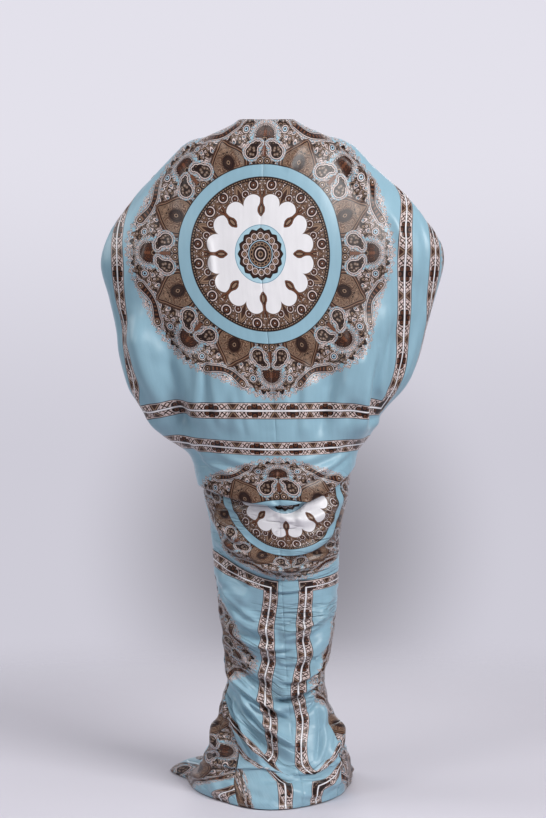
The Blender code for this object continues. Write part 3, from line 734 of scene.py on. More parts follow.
def hem_places(from_edge, turned):
    """How far along the nearest hem each point lies, and how far in from its edge."""
    places = np.stack([from_edge["left"], np.ones_like(from_edge["left"])], axis=-1)
    for edge, held in turned.items():
        run = from_edge["left" if edge in ("top", "bottom") else "top"]
        nearer = (from_edge[edge] < places[..., 1]) & (np.broadcast_to(held, run.shape) > 0.5)
        places[nearer] = np.stack([run, from_edge[edge]], axis=-1)[nearer]
    return places


def cloth_faces(angles, rings, seams, turned):
    """Points of the two faces of a panel, and its hems. turned: 1 along each edge where it is hemmed."""
    plain = laid(angles, rings)
    across, high = plain[..., 0], plain[..., 2] + SHOULDER_HEIGHT
    share = np.clip(0.5 + np.cos(np.radians(angles)) / SIDE_BLEND, 0, 1)
    behind = fold_lift(across, high, BACK_FOLDS + BACK_CREASES)
    ahead = fold_lift(across, high, FRONT_FOLDS + FRONT_CREASES)
    folds = np.maximum(smooth(RING["folds"], rings), 0)
    lift = (behind * share + ahead * (1 - share)) * folds
    round_place = np.hypot(plain[..., 0], plain[..., 1]) * np.radians(angles)
    lift += ripple_lift(round_place, high) * np.clip(folds, LEAST_RIPPLE, 1)
    lift += pool_lift(angles, rings)
    from_edge = edge_lengths(plain)
    for edge in seams:
        away = from_edge[edge]
        way = high if edge in ("left", "right") else round_place
        tuck = soft_noise(way / PUCKER_SIZE, way * 0 + PUCKER_ROW, PUCKER_SEEDS[edge])
        lift -= SEAM_DEPTH * np.exp(-((away / SEAM_WIDTH) ** 2))
        lift += PUCKER_RISE * tuck * np.exp(-away / PUCKER_REACH) * ramp(away / SEAM_WIDTH) * folds
    thick = np.zeros_like(lift)
    for edge, held in turned.items():
        doubled = ramp((TURNING + TURNING_EDGE - from_edge[edge]) / TURNING_EDGE)
        thick = np.maximum(thick, TURNING_RISE * held * doubled)
    outer = plain + facing(laid, angles, rings) * (lift + thick)[..., None]
    inner = outer - (CLOTH + 2 * thick)[..., None] * outward(outer)
    return outer, inner, hem_places(from_edge, turned)


def flat_panel(name, columns, rows):
    """A unit square of cloth, as many cells across and down, and one unit thick."""
    bm = bmesh.new()
    bmesh.ops.create_grid(bm, x_segments=columns, y_segments=rows, size=0.5)
    made = bmesh.ops.extrude_face_region(bm, geom=bm.faces[:], use_keep_orig=True)
    lifted = [item for item in made["geom"] if isinstance(item, bmesh.types.BMVert)]
    bmesh.ops.translate(bm, verts=lifted, vec=(0, 0, 1))
    bmesh.ops.recalc_face_normals(bm, faces=bm.faces[:])
    mesh = bpy.data.meshes.new(name)
    bm.to_mesh(mesh)
    bm.free()
    return mesh


def cloth_piece(name, start, end, first, last, middle, slits, finishes):
    """A panel of cloth laid on the garment's surface. start, end: its edges. slits: the sides with a slit."""
    columns, rows_count = PANEL_GRIDS[name]
    left, right = start(np.array([first])), end(np.array([first]))
    rows = grid_rows(first, last, rows_count, left + (right - left) * ROW_PLACES)
    angles = grid_angles(start(rows), end(rows), rows, columns)
    rings = np.repeat(rows[:, None], columns + 1, axis=1)
    skirt = first >= KNEE
    seams = ("left", "right", "top" if skirt else "bottom")
    turned = {"bottom" if skirt else "top": 1.0, **{side: slit_share(rings) for side in slits}}
    outer, inner, hems = cloth_faces(angles, rings, seams, turned)
    places = print_places(angles, rings, rows, skirt, middle)

    mesh = flat_panel(name + "_cloth", columns, rows_count)
    flat = np.empty(len(mesh.vertices) * 3, np.float32)
    mesh.vertices.foreach_get("co", flat)
    flat = flat.reshape(-1, 3)
    column = np.rint((flat[:, 0] + 0.5) * columns).astype(int)
    row = np.rint((0.5 - flat[:, 1]) * rows_count).astype(int)
    is_outer = flat[:, 2] > 0.5
    points = np.where(is_outer[:, None], outer[row, column], inner[row, column])
    mesh.vertices.foreach_set("co", points.astype(np.float32).ravel())
    corners = np.empty(len(mesh.loops), np.int32)
    mesh.loops.foreach_get("vertex_index", corners)
    for layer, values in (("Cut", places), ("Hem", hems)):
        at_corners = values[row, column][corners].astype(np.float32)
        mesh.uv_layers.new(name=layer).data.foreach_set("uv", at_corners.ravel())
    starts = np.empty(len(mesh.polygons), np.int32)
    mesh.polygons.foreach_get("loop_start", starts)
    inside = ~np.any(is_outer[corners[starts[:, None] + np.arange(4)]], axis=1)
    for finish in finishes:
        mesh.materials.append(finish)
    mesh.polygons.foreach_set("material_index", inside.astype(np.int32))
    mesh.update()
    mesh.shade_smooth()
    return in_scene(mesh.name, mesh)


def in_scene(name, content):
    """An object that is part of the scene, with its mesh, lamp or camera."""
    made = bpy.data.objects.new(name, content)
    bpy.context.scene.collection.objects.link(made)
    return made


# Colours of the print and the studio, as they look in the photograph
COLOURS = {
    "sky": (143, 178, 194), "pale sky": (172, 204, 217), "deep sky": (98, 142, 166),
    "dark brown": (33, 17, 14), "brown": (62, 39, 31), "mid brown": (88, 61, 48), "tan": (145, 118, 98),
    "rust": (108, 66, 46), "pinkish": (214, 196, 192), "white": (232, 230, 233), "ice": (170, 196, 212),
    "floor": (208, 205, 214), "wall": (206, 204, 215), "top wall": (227, 225, 235),
    "wall shadow": (140, 138, 146), "dim wall": (86, 85, 92),
}


def shade(name):
    """A named colour as linear values."""
    made = []
    for value in COLOURS[name]:
        value /= 255
        made.append(value / 12.92 if value <= 0.04045 else ((value + 0.055) / 1.055) ** 2.4)
    return (*made, 1.0)


def named(colour):
    """The linear values of a named colour, or a colour from a socket as it is."""
    return shade(colour) if isinstance(colour, str) else colour


def feed(tree, socket, value):
    """Gives a socket a plain value, or a link from another socket or a Number."""
    if isinstance(value, Number):
        tree.links.new(value.socket, socket)
    elif isinstance(value, bpy.types.NodeSocket):
        tree.links.new(value, socket)
    else:
        socket.default_value = value


def add_node(tree, kind, inputs=(), **settings):
    """A material node with its settings, and what goes into its inputs by name or number."""
    made = tree.nodes.new("ShaderNode" + kind)
    for name, value in settings.items():
        setattr(made, name, value)
    for place, value in dict(inputs).items():
        feed(tree, made.inputs[place], value)
    return made


class Number:
    """A number in a material, whose arithmetic adds Math nodes."""

    def __init__(self, tree, socket):
        self.tree = tree
        self.socket = socket

    def step(self, kind, *others, clamp=False, first=None):
        values = (self, *others) if first is None else (first, self, *others)
        made = add_node(self.tree, "Math", enumerate(values), operation=kind, use_clamp=clamp)
        return Number(self.tree, made.outputs[0])

    def __add__(self, other):
        return self.step("ADD", other)

    def __sub__(self, other):
        return self.step("SUBTRACT", other)

    def __rsub__(self, other):
        return self.step("SUBTRACT", first=other)

    def __mul__(self, other):
        return self.step("MULTIPLY", other)

    def __abs__(self):
        return self.step("ABSOLUTE")

    def least(self, other):
        return self.step("MINIMUM", other)

    def most(self, other):
        return self.step("MAXIMUM", other)

    def limited(self):
        return self.step("ADD", 0, clamp=True)

    def within(self, size=0.0):
        """1 where this distance is under size, 0 where it is over, with a soft edge."""
        return self.step("MULTIPLY_ADD", -1 / PRINT_EDGE, 0.5 + size / PRINT_EDGE, clamp=True)

    def between(self, low, high):
        return abs(self - (low + high) / 2).within((high - low) / 2)

    def waves(self, size):
        """From -1 to 1 and back, once in each `size`."""
        return (self * (2 * np.pi / size)).step("SINE")


def parts(tree, vector):
    """The numbers that a place is made of."""
    return [Number(tree, socket) for socket in add_node(tree, "SeparateXYZ", {0: vector}).outputs]


def spot(tree, x, y):
    return add_node(tree, "CombineXYZ", {0: x, 1: y}).outputs[0]


def distance(tree, point, centre):
    centre = (*centre, 0)[:3]
    made = add_node(tree, "VectorMath", {0: point, 1: centre}, operation="DISTANCE")
    return Number(tree, made.outputs["Value"])


def noise(tree, place, scale, detail):
    inputs = {"Scale": scale, "Detail": detail, "Vector": place}
    return add_node(tree, "TexNoise", inputs, noise_dimensions="2D").outputs


def warped(tree, point, size, amount):
    """A point pushed about by noise, so that what is drawn at it curls."""
    inputs = {0: noise(tree, point, 1 / size, 1.0)["Color"], 1: (amount, amount, 0), 2: point}
    return add_node(tree, "VectorMath", inputs, operation="MULTIPLY_ADD").outputs[0]


def stretched_noise(tree, place, along, down, detail):
    """Noise on the cut cloth, with so many cells to a metre along it and down it."""
    stretch = add_node(tree, "Mapping", {"Scale": (along, down, 1), "Vector": place})
    return Number(tree, noise(tree, stretch.outputs[0], 1, detail)[0])


def faded(tree, value, start, end):
    """A number that is 0 at the start and 1 at the end, with no hard edge."""
    inputs = {"From Min": start, "From Max": end, "Value": value}
    return add_node(tree, "MapRange", inputs, interpolation_type="SMOOTHSTEP").outputs[0]


def mixed(tree, share, under, over, blend="MIX"):
    inputs = {0: share, 6: under, 7: over}
    return add_node(tree, "Mix", inputs, data_type="RGBA", blend_type=blend).outputs[2]


def profile(tree, along, rows):
    """Half width at each place along a shape, on a smooth curve through the rows."""
    low, high = rows[0][0], rows[-1][0]
    widest = max(width for _, width in rows)
    node = add_node(tree, "FloatCurve")
    node.mapping.use_clip = False
    curve = node.mapping.curves[0]
    curve.points[0].location = (0, rows[0][1] / widest)
    curve.points[1].location = (1, rows[-1][1] / widest)
    for at, width in rows[1:-1]:
        curve.points.new((at - low) / (high - low), width / widest)
    node.mapping.update()
    feed(tree, node.inputs["Value"], (along - low) * (1 / (high - low)))
    return Number(tree, node.outputs[0]) * widest


def round_end(away, over, end):
    """Distance from a curve with a round end: away is the distance from the line, over the way along it."""
    past = (over - end).most(0)
    return (away * away + past * past).step("SQRT")


# Small round flowers: how unevenly they are scattered, and how far each seed moves them along and up
SCATTER_RANDOMNESS = 0.8
SCATTER_SHIFT = (0.37, 0.61)


class Paint:
    """Colour that builds up as shapes are laid over it."""

    def __init__(self, tree, ground):
        self.tree = tree
        self.colour = named(ground)

    def lay(self, mask, colour):
        self.colour = mixed(self.tree, mask, self.colour, named(colour))

    def rings(self, away, *layers):
        """A shape in layers, from the outside in: how far out each one reaches, and its colour."""
        for reach, colour in layers:
            self.lay(away.within(reach), colour)

    def dot(self, point, centre, *layers):
        """A round shape in layers."""
        self.rings(distance(self.tree, point, centre), *layers)

    def scatter(self, point, size, seed, *layers, curl=None, inside=None):
        """Small round flowers all over. A layer's reach is a share of their size. curl: size and amount."""
        if curl:
            point = warped(self.tree, point, *curl)
        shift = (*(seed * step for step in SCATTER_SHIFT), 0)
        moved = add_node(self.tree, "VectorMath", {0: point, 1: shift}, operation="ADD")
        inputs = {"Scale": 1 / size, "Randomness": SCATTER_RANDOMNESS, "Vector": moved.outputs[0]}
        cells = add_node(self.tree, "TexVoronoi", inputs, voronoi_dimensions="2D")
        away = Number(self.tree, cells.outputs["Distance"]) * size
        for share, colour in layers:
            spotted = away.within(share * size)
            self.lay(spotted if inside is None else spotted * inside, colour)


class Wedge:
    """Places in a part of the print that repeats all the way round, mirrored at its two straight sides."""

    def __init__(self, tree, radius, turn):
        self.turn = turn
        self.out = radius * turn.step("COSINE")
        self.side = radius * turn.step("SINE")
        self.point = spot(tree, self.out, self.side)


# How soft the edges of the print's shapes are, and its sizes, from the middle of its square. The sizes inside
# a motif stand where it is painted.
PRINT_EDGE = 0.0008
EIGHTH = np.pi / 8
BAND_MIDDLE = 0.3605
BAND_HALF = 0.0190
BLOCK_STEP = 0.100
CORNER = (0.3420, 0.5000)
RING_INSIDE = 0.177
RING_OUTSIDE = 0.206
INSIDE_LINE = 0.0016
OUTSIDE_LINE = 0.0024
WREATH_OUTSIDE = 0.3225
WREATH_WAVE = 0.0085
WREATH_RAGS = ((60, 0.0050), (104, 0.0025))
FLOWER_BODY = 0.112
CENTRE = 0.0680
PETAL = ((0.1139, 0.0221), 0.0235)
DROP = (
    (0.084, -0.006), (0.087, 0.000), (0.093, 0.0050), (0.103, 0.0085), (0.113, 0.0052), (0.122, 0.0030),
    (0.134, 0.0042), (0.142, 0.0072), (0.147, -0.006),
)
PALMETTE = (
    (0.198, -0.006), (0.202, 0.034), (0.214, 0.041), (0.230, 0.041), (0.243, 0.033), (0.254, 0.023),
    (0.265, 0.012), (0.274, 0.005), (0.281, -0.006),
)
PALMETTE_LAYERS = (
    (0.0092, "dark brown"), (0.0072, "rust"), (0.0060, "dark brown"), (0.0030, "tan"), (0.0014, "rust"),
    (-0.0004, "dark brown"), (-0.0040, "tan"), (-0.0054, "mid brown"),
)
# Almond leaf of the belt: its middle, half its length and half its width, and its layers
ALMOND = (0.143, 0.031, 0.012)
ALMOND_LAYERS = (
    (0.0026, "dark brown"), (0.0004, "tan"), (-0.0022, "brown"), (-0.0040, "tan"), (-0.0075, "brown"),
)
# Round paisleys of the belt: the place of each and its share of the full size, and their layers
BELT_ROUNDS = (((0.1590, 0.0225), 1.0), ((0.1370, 0.0415), 0.72))
BELT_ROUND_LAYERS = (
    (0.0145, "dark brown"), (0.0122, "pinkish"), (0.0098, "dark brown"), (0.0060, "rust"),
    (0.0042, "dark brown"), (0.0018, "pinkish"),
)
# Paisley scroll: the middle of its head, and the rounds of its tail, each so much smaller than the head
SCROLL_HEAD = (0.2335, 0.0310)
SCROLL_TAIL = (((0.2440, 0.0270), 0.0035), ((0.2520, 0.0200), 0.0070), ((0.2550, 0.0130), 0.0100))
DARK_LINED = ((0.0174, "dark brown"), (0.0160, "pinkish"), (0.0142, "dark brown"))


def paint_centre(paint, radius, turn):
    """Pale ring and pointed brown disc in the middle of the flower."""
    bead = Wedge(paint.tree, radius, turn.step("PINGPONG", EIGHTH / 2))
    paint.rings(radius, (CENTRE, "deep sky"), (0.0665, "pale sky"))
    paint.rings(radius + bead.turn * 0.030, (0.0610, "dark brown"), (0.0570, "brown"))
    paint.rings(radius, (0.0505, "dark brown"))
    paint.dot(bead.point, (0.0425, 0), (0.0082, "pinkish"), (0.0062, "dark brown"), (0.0042, "tan"),
              (0.0020, "rust"))
    paint.rings(radius, (0.0325, "ice"), (0.0305, "dark brown"))
    paint.dot(bead.point, (0.0240, 0.0035), (0.0045, "tan"), (0.0024, "dark brown"))
    paint.rings(radius, (0.0150, "pinkish"), (0.0125, "dark brown"), (0.0070, "tan"), (0.0040, "brown"))


def paint_belt(paint, radius, fan, palm):
    """Dark belt of round paisleys and leaves between the flower and the plain ring."""
    paint.scatter(fan.point, 0.0100, 1, (0.47, "tan"), (0.36, "dark brown"), (0.17, "pinkish"),
                  curl=(0.014, 0.012))
    middle, half_length, half_width = ALMOND
    narrowing = abs((palm.out - middle) * (1 / half_length)).step("POWER", 2.0)
    paint.rings(palm.side + narrowing * half_width - half_width, *ALMOND_LAYERS)
    for centre, share in BELT_ROUNDS:
        paint.dot(fan.point, centre, *((share * reach, colour) for reach, colour in BELT_ROUND_LAYERS))
    paint.lay(abs(radius - 0.1735).within(0.0036), "dark brown")
    beads = (fan.turn * 170).step("SINE").step("GREATER_THAN", -0.1)
    paint.lay(abs(radius - 0.1738).within(0.0011) * beads, "tan")


def paint_flower(paint, radius, fan):
    """White flower with sixteen petals, and a drop on a stem in every second cleft."""
    centre, size = PETAL
    petal = distance(paint.tree, fan.point, centre) - size
    paint.rings(petal.least(radius - FLOWER_BODY), (0.0018, "mid brown"), (0, "white"))
    drop = fan.side - profile(paint.tree, fan.out, DROP)
    paint.rings(drop, (0.0012, "mid brown"), (-0.0004, "rust"), (-0.0030, "dark brown"), (-0.0055, "tan"))


def paint_lace(tree, point):
    """Pale loops with fine dark outlines on blue, for the edges of shapes."""
    paint = Paint(tree, "sky")
    paint.scatter(point, 0.0092, 6, (0.58, "brown"), (0.49, "pinkish"), (0.33, "dark brown"), (0.22, "ice"),
                  curl=(0.014, 0.014))
    return paint.colour


def paint_garland(paint, palm, lace):
    """Garland outside each palmette, with an eye at each end."""
    sway = abs(palm.out - 0.2985 + (palm.side * (np.pi / 0.062)).step("COSINE") * 0.0075)
    bough = round_end(sway, palm.side, 0.0440) - palm.side * 0.070
    paint.rings(bough, (0.0120, lace), (0.0080, "dark brown"), (0.0066, "pinkish"), (0.0052, "dark brown"))
    beads = (palm.side * 0.9 + palm.out * 0.4).waves(0.0090).step("GREATER_THAN", 0.3)
    paint.lay(bough.within(0.0022) * beads, "rust")
    paint.dot(palm.point, (0.3050, 0.0440), (0.0062, "tan"), (0.0044, "dark brown"), (0.0018, "pinkish"))


def paint_palmette(paint, palm):
    """Palmette with pointed outlines and a plume in its heart."""
    onion = palm.side - profile(paint.tree, palm.out, PALMETTE)
    paint.rings(onion, *PALMETTE_LAYERS)
    paint.scatter(palm.point, 0.0105, 3, (0.56, "tan"), (0.40, "brown"), (0.27, "tan"), (0.14, "dark brown"),
                  curl=(0.016, 0.018), inside=onion.within(-0.0066))
    heart = distance(paint.tree, palm.point, (0.2260, 0)) + palm.side * 0.25
    plume = heart + abs((palm.side * 1.4 - palm.out).waves(0.0120)) * 0.0060
    paint.rings(plume, (0.0245, "brown"), (0.0215, "dark brown"), (0.0150, "brown"), (0.0120, "dark brown"))
    paint.rings(heart, (0.0052, "tan"), (0.0030, "dark brown"))


def paint_fan(paint, fan, lace):
    """Serrated fan with a lace edge, on a stem."""
    teeth = abs((fan.side * 1.3 - fan.out).waves(0.0120)) * 0.0062
    saw = distance(paint.tree, fan.point, (0.2740, 0)) + teeth
    paint.rings(saw, (0.0400, lace), (0.0318, "dark brown"), (0.0300, "pinkish"), (0.0282, "dark brown"),
                (0.0236, "brown"))
    paint.scatter(fan.point, 0.0082, 9, (0.44, "dark brown"), (0.30, "rust"), (0.16, "dark brown"),
                  curl=(0.014, 0.012), inside=saw.within(0.0225))
    across_stem = fan.side - 0.0016 - abs(fan.out.waves(0.0100)) * 0.0030
    stem = across_stem.most(abs(fan.out - 0.2560) - 0.0300)
    paint.rings(stem, (0.0018, "dark brown"), (0.0002, "rust"))
    paint.dot(fan.point, (0.2640, 0), (0.0080, "dark brown"), (0.0060, "tan"), (0.0040, "dark brown"))


def paint_scroll(paint, fan, lace):
    """Paisley scroll each side of the stem, its tail towards the fan."""
    comma = distance(paint.tree, fan.point, SCROLL_HEAD)
    for place, less in SCROLL_TAIL:
        comma = comma.least(distance(paint.tree, fan.point, place) + less)
    paint.rings(comma, (0.0218, lace), *DARK_LINED)
    paint.scatter(fan.point, 0.0088, 8, (0.34, "tan"), (0.22, "dark brown"), (0.10, "pinkish"),
                  inside=comma.within(0.0110))
    paint.dot(fan.point, (0.2140, 0.0085), (0.0090, "dark brown"), (0.0066, "tan"), (0.0046, "dark brown"),
              (0.0018, "pinkish"))


def paint_wreath(paint, rim, fan, palm):
    """Broad dark wreath of palmettes, scrolls, garlands and lace round the plain ring."""
    lace = paint_lace(paint.tree, fan.point)
    paint.scatter(fan.point, 0.0125, 2, (0.47, "tan"), (0.36, "dark brown"), (0.21, "pinkish"),
                  (0.11, "brown"), curl=(0.022, 0.026))
    paint.scatter(fan.point, 0.0230, 7, (0.30, "dark brown"), (0.25, "pinkish"), (0.18, "dark brown"),
                  (0.10, "ice"), (0.05, "brown"), curl=(0.026, 0.022))
    paint.rings(rim, (0.0130, lace))
    paint_garland(paint, palm, lace)
    paint_palmette(paint, palm)
    paint_fan(paint, fan, lace)
    paint_scroll(paint, fan, lace)
    # Small curls between the garlands and the fans
    paint.dot(fan.point, (0.2860, 0.0480), (0.0105, "dark brown"), (0.0090, "pinkish"),
              (0.0072, "dark brown"), (0.0050, "ice"), (0.0028, "dark brown"))


def paint_band(paint, off, near):
    """Border band: white middle line, dark four-lobed blocks, and pale herringbone leaves between them."""
    across = abs(off)
    block = abs(near.step("WRAP", BLOCK_STEP, 0.0) - BLOCK_STEP / 2)
    point = spot(paint.tree, block, across)
    paint.lay((block * 0.9 + across * 0.7).waves(0.0078).step("GREATER_THAN", 0.25), "mid brown")
    paint.lay((block * 0.8 - across).waves(0.0125).step("GREATER_THAN", 0.72), "dark brown")
    tip = abs(block - BLOCK_STEP / 2) - across * 0.75 + 0.0060
    paint.rings(tip, (0.0115, "pinkish"), (0.0092, "brown"), (0.0058, "tan"), (0.0030, "brown"))
    lobes = distance(paint.tree, point, (0.0000, 0.0128))
    lobes = lobes.least(distance(paint.tree, point, (0.0118, 0.0056)) + 0.0008)
    lobes = lobes.least(distance(paint.tree, point, (0.0030, 0.0030)))
    paint.rings(lobes, (0.0094, "pinkish"), (0.0078, "dark brown"))
    paint.dot(point, (0.0112, 0.0066), (0.0036, "rust"), (0.0018, "dark brown"))
    paint.dot(point, (0.0000, 0.0118), (0.0040, "rust"), (0.0020, "dark brown"))
    corner = near.between(*CORNER)
    paint.lay(corner, "dark brown")
    paint.scatter(point, 0.0100, 5, (0.48, "brown"), (0.34, "dark brown"), (0.14, "tan"), inside=corner)
    paint.lay(across.between(0.0158, 0.0172), "pinkish")
    paint.lay(across.between(0.0174, 0.0200), "dark brown")
    paint.rings(across, (0.0032, "dark brown"), (0.0020, "white"))


def scarf_print():
    """One square of the print, repeated: flower, rings, wreath and border bands on plain blue."""
    tree = bpy.data.node_groups.new("scarf_print", "ShaderNodeTree")
    tree.interface.new_socket("Place", in_out="INPUT", socket_type="NodeSocketVector")
    tree.interface.new_socket("Colour", in_out="OUTPUT", socket_type="NodeSocketColor")
    given, result = tree.nodes.new("NodeGroupInput"), tree.nodes.new("NodeGroupOutput")
    half = PRINT_SQUARE / 2
    along, up = (number.step("WRAP", half, -half) for number in parts(tree, given.outputs["Place"])[:2])
    radius = (along * along + up * up).step("SQRT")
    turn = up.step("ARCTAN2", along) + 2 * np.pi
    fan = Wedge(tree, radius, turn.step("PINGPONG", EIGHTH))
    palm = Wedge(tree, radius, EIGHTH - fan.turn)

    cloth = Paint(tree, "sky")
    far, near = abs(along).most(abs(up)), abs(along).least(abs(up))
    off = far - BAND_MIDDLE
    band = Paint(tree, "pinkish")
    paint_band(band, off, near)
    cloth.lay(abs(off).within(BAND_HALF), band.colour)

    (often, deep), (more_often, less_deep) = WREATH_RAGS
    ragged = abs((fan.turn * often).step("SINE")) * deep + (fan.turn * more_often).step("SINE") * less_deep
    rim = (fan.turn * 8).step("COSINE") * WREATH_WAVE + WREATH_OUTSIDE + ragged - radius
    wreath = Paint(tree, "dark brown")
    paint_wreath(wreath, rim, fan, palm)
    belt = Paint(tree, "mid brown")
    paint_belt(belt, radius, fan, palm)
    cloth.rings(rim * -1, (0, wreath.colour))
    cloth.rings(
        radius, (RING_OUTSIDE + OUTSIDE_LINE, "dark brown"), (RING_OUTSIDE, "sky"),
        (RING_INSIDE + INSIDE_LINE, "dark brown"), (RING_INSIDE, belt.colour),
    )
    paint_flower(cloth, radius, fan)
    middle = Paint(tree, "pale sky")
    paint_centre(middle, radius, turn)
    cloth.rings(radius, (CENTRE, middle.colour))
    tree.links.new(cloth.colour, result.inputs["Colour"])
    return tree


# Surface of the satin. slub: long faint streaks. crinkle: soft creases, whose tone is painted light and
# shade, lighter where they stand out and darker where they lie in. crease: sharp ones, darkened along their
# bottoms with
# painted shade. thread: the weave. Those with two numbers are cells to a metre along and down the cut.
FINISH = {
    "roughness": 0.33, "reverse roughness": 0.60, "specular": 0.36, "reverse specular": 0.3,
    "sheen": 0.02, "sheen roughness": 0.4, "reverse wash": 0.45,
    "slub": (90.0, 9.0), "crease": (6.5, 25.0), "crease share": (3.0, 8.0), "thread": (1500.0, 750.0),
    "slub depth": 0.00012, "crinkle depth": 0.00045, "thread depth": 0.00003,
    "crease depth": 0.0030, "painted crease shade": 0.13,
    "slub tone": 0.10, "painted crinkle light and shade": 0.08, "thread tone": 0.05,
    "slub dullness": 0.06, "crinkle dullness": 0.05,
}
# Shape of a sharp crease: how narrow and how steep it is, and the noise above which it shows, and how soon
CREASE_SHAPE = (11, 1.5)
CREASE_SHOWN = (0.42, 5)
# Stitches that hold the hems: how far in from the edge, half width, step along the row, where in its wave a
# stitch starts, and how far they stand out
STITCH = {"inset": 0.0055, "half width": 0.0002, "step": 0.0040, "start": -0.4, "rise": 0.0002}
# Where along the cut the sharp creases begin on the long panels, and where they are at their deepest
CREASED = (-0.40, -0.66)
# The same for the skirt, where they fade out towards the hem
CREASED_SKIRT = (-0.43, -0.28)


def sharp_creases(tree, place, gathered):
    """Thin valleys, 1 at their bottom, where the cloth is drawn together."""
    sway = stretched_noise(tree, place, *FINISH["crease"], 2.0)
    share = stretched_noise(tree, place, *FINISH["crease share"], 1.0)
    narrow, steep = CREASE_SHAPE
    valley = (abs(sway - 0.5) * -narrow + 1).most(0).step("POWER", steep)
    least, soon = CREASE_SHOWN
    start, full = CREASED_SKIRT if gathered else CREASED
    drawn_in = (parts(tree, place)[1] - start) * (1 / (full - start))
    return valley * (((share - least) * soon).limited() * drawn_in.limited())


def hem_stitches(tree):
    """1 on the thread of each hem's row of stitches."""
    run, away, _ = parts(tree, add_node(tree, "UVMap", uv_map="Hem").outputs[0])
    row = abs(away - STITCH["inset"]).within(STITCH["half width"])
    return row * run.waves(STITCH["step"]).step("GREATER_THAN", STITCH["start"])


def satin(name, pattern, tint, crinkle, reverse=False):
    """Printed satin: print, streaks, creases and weave, all on the panel's own cut."""
    side = "reverse " if reverse else ""
    finish = bpy.data.materials.new(name)
    finish.use_nodes = True
    tree = finish.node_tree
    shader = tree.nodes["Principled BSDF"]
    for socket, value in (
        ("Metallic", 0), ("Specular IOR Level", FINISH[side + "specular"]),
        ("Sheen Weight", FINISH["sheen"]), ("Sheen Roughness", FINISH["sheen roughness"]),
    ):
        shader.inputs[socket].default_value = value
    place = add_node(tree, "UVMap", uv_map="Cut").outputs[0]
    square = add_node(tree, "Group", node_tree=pattern)
    tree.links.new(place, square.inputs["Place"])
    slub = stretched_noise(tree, place, *FINISH["slub"], 2.0)
    fold = stretched_noise(tree, place, *crinkle, 3.0)
    thread = stretched_noise(tree, place, *FINISH["thread"], 0.0)
    valley = sharp_creases(tree, place, name.startswith("skirt"))
    stitches = hem_stitches(tree)

    printed = Paint(tree, square.outputs["Colour"])
    printed.lay(stitches, "pale sky")
    # The crinkle noise also paints light and shade: the colour is lighter where the soft creases stand out
    # and darker where they lie in.
    tones = FINISH["slub tone"], FINISH["painted crinkle light and shade"], FINISH["thread tone"]
    level = slub * tones[0] + fold * tones[1] + thread * tones[2]
    # Painted shade: the colour is darkened along the bottom of each sharp crease.
    level = level - valley * FINISH["painted crease shade"] + (tint - sum(tones) / 2)
    grey = add_node(tree, "CombineColor", {0: level, 1: level, 2: level}).outputs[0]
    colour = mixed(tree, 1, printed.colour, grey, "MULTIPLY")
    if reverse:
        colour = mixed(tree, FINISH["reverse wash"], colour, shade("ice"))
    tree.links.new(colour, shader.inputs["Base Color"])
    dull = FINISH["slub dullness"], FINISH["crinkle dullness"]
    rough = slub * dull[0] + fold * dull[1] + (FINISH[side + "roughness"] - sum(dull) / 2)
    feed(tree, shader.inputs["Roughness"], rough)
    height = slub * FINISH["slub depth"] + fold * FINISH["crinkle depth"] + thread * FINISH["thread depth"]
    height = height - valley * FINISH["crease depth"] + stitches * STITCH["rise"]
    relief = add_node(tree, "Bump", {"Strength": 1, "Distance": 1, "Height": height})
    tree.links.new(relief.outputs[0], shader.inputs["Normal"])
    return finish


# How light the cloth of each panel is
PANEL_TONES = {
    "back_left": 0.99, "back_right": 1.00, "front": 0.98,
    "skirt_back_left": 0.98, "skirt_back_right": 0.99, "skirt_front": 0.97,
}
# The fine creases of the cape and of the skirt, in cells to a metre along and down the cut
CRINKLES = {"": (42.0, 20.0), "skirt_": (26.0, 110.0)}
# Each panel of the cape and of the skirt: its two edges, the angle of its middle, and its sides with a slit
PANEL_EDGES = {
    "back_left": (lambda ring: edge_angle(ring, -1, 1), lambda ring: middle_angle(ring, -1), 0, ("left",)),
    "back_right": (lambda ring: middle_angle(ring, 1), lambda ring: edge_angle(ring, 1, 1), 0, ("right",)),
    "front": (
        lambda ring: edge_angle(ring, 1, -1), lambda ring: 360 + edge_angle(ring, -1, -1), 180,
        ("left", "right"),
    ),
}


def slit_share(rings):
    """1 beside a hand slit, where the side edge is hemmed, and 0 where it is sewn."""
    return np.clip(smooth(RING["slit"], rings) / SLIT_HEMMED, 0, 1)


def make_cloth():
    pattern = scarf_print()
    down, _ = surface_steps(bare, np.zeros(1), np.array([float(KNEE)]))
    parted = SEAM_GAP * 2 * RING_STEP / float(np.linalg.norm(down))
    pieces = {}
    for kind, first, last in (("", 0, KNEE - parted), ("skirt_", KNEE + parted, len(RINGS) - 1)):
        for word, (start, end, middle, slits) in PANEL_EDGES.items():
            name = kind + word
            finishes = (
                satin(name + "_satin", pattern, PANEL_TONES[name], CRINKLES[kind]),
                satin(name + "_reverse", pattern, PANEL_TONES[name], CRINKLES[kind], reverse=True),
            )
            open_sides = () if kind else slits
            pieces[name] = cloth_piece(name, start, end, first, last, middle, open_sides, finishes)
    return pieces


def declare(pieces):
    for name, piece in pieces.items():
        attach(piece, "root")
        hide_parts(name)


# Studio floor. FLOOR_FADE: how far out it has faded into the wall's colour, and where that starts
FLOOR_RADIUS = 3.0
FLOOR_SIDES = 96
FLOOR_ROUGHNESS = 0.8
FLOOR_FADE = (2.6, 0.9)
# How far, from 0 to 1, a direction must point to the front for the wall to be bright there
WALL_BRIGHT = (0.45, 0.95)
# How high a direction must point for the wall to grow lighter with painted light, and to be at its lightest
WALL_TOP = (-0.04, 0.17)
# Painted soft shadow on the wall behind the garment: the direction of its middle, and how far from that it
# ends and where it is full
WALL_SHADOW = (0.010, 1.0, -0.085)
WALL_SHADOW_REACH = (0.145, 0.020)
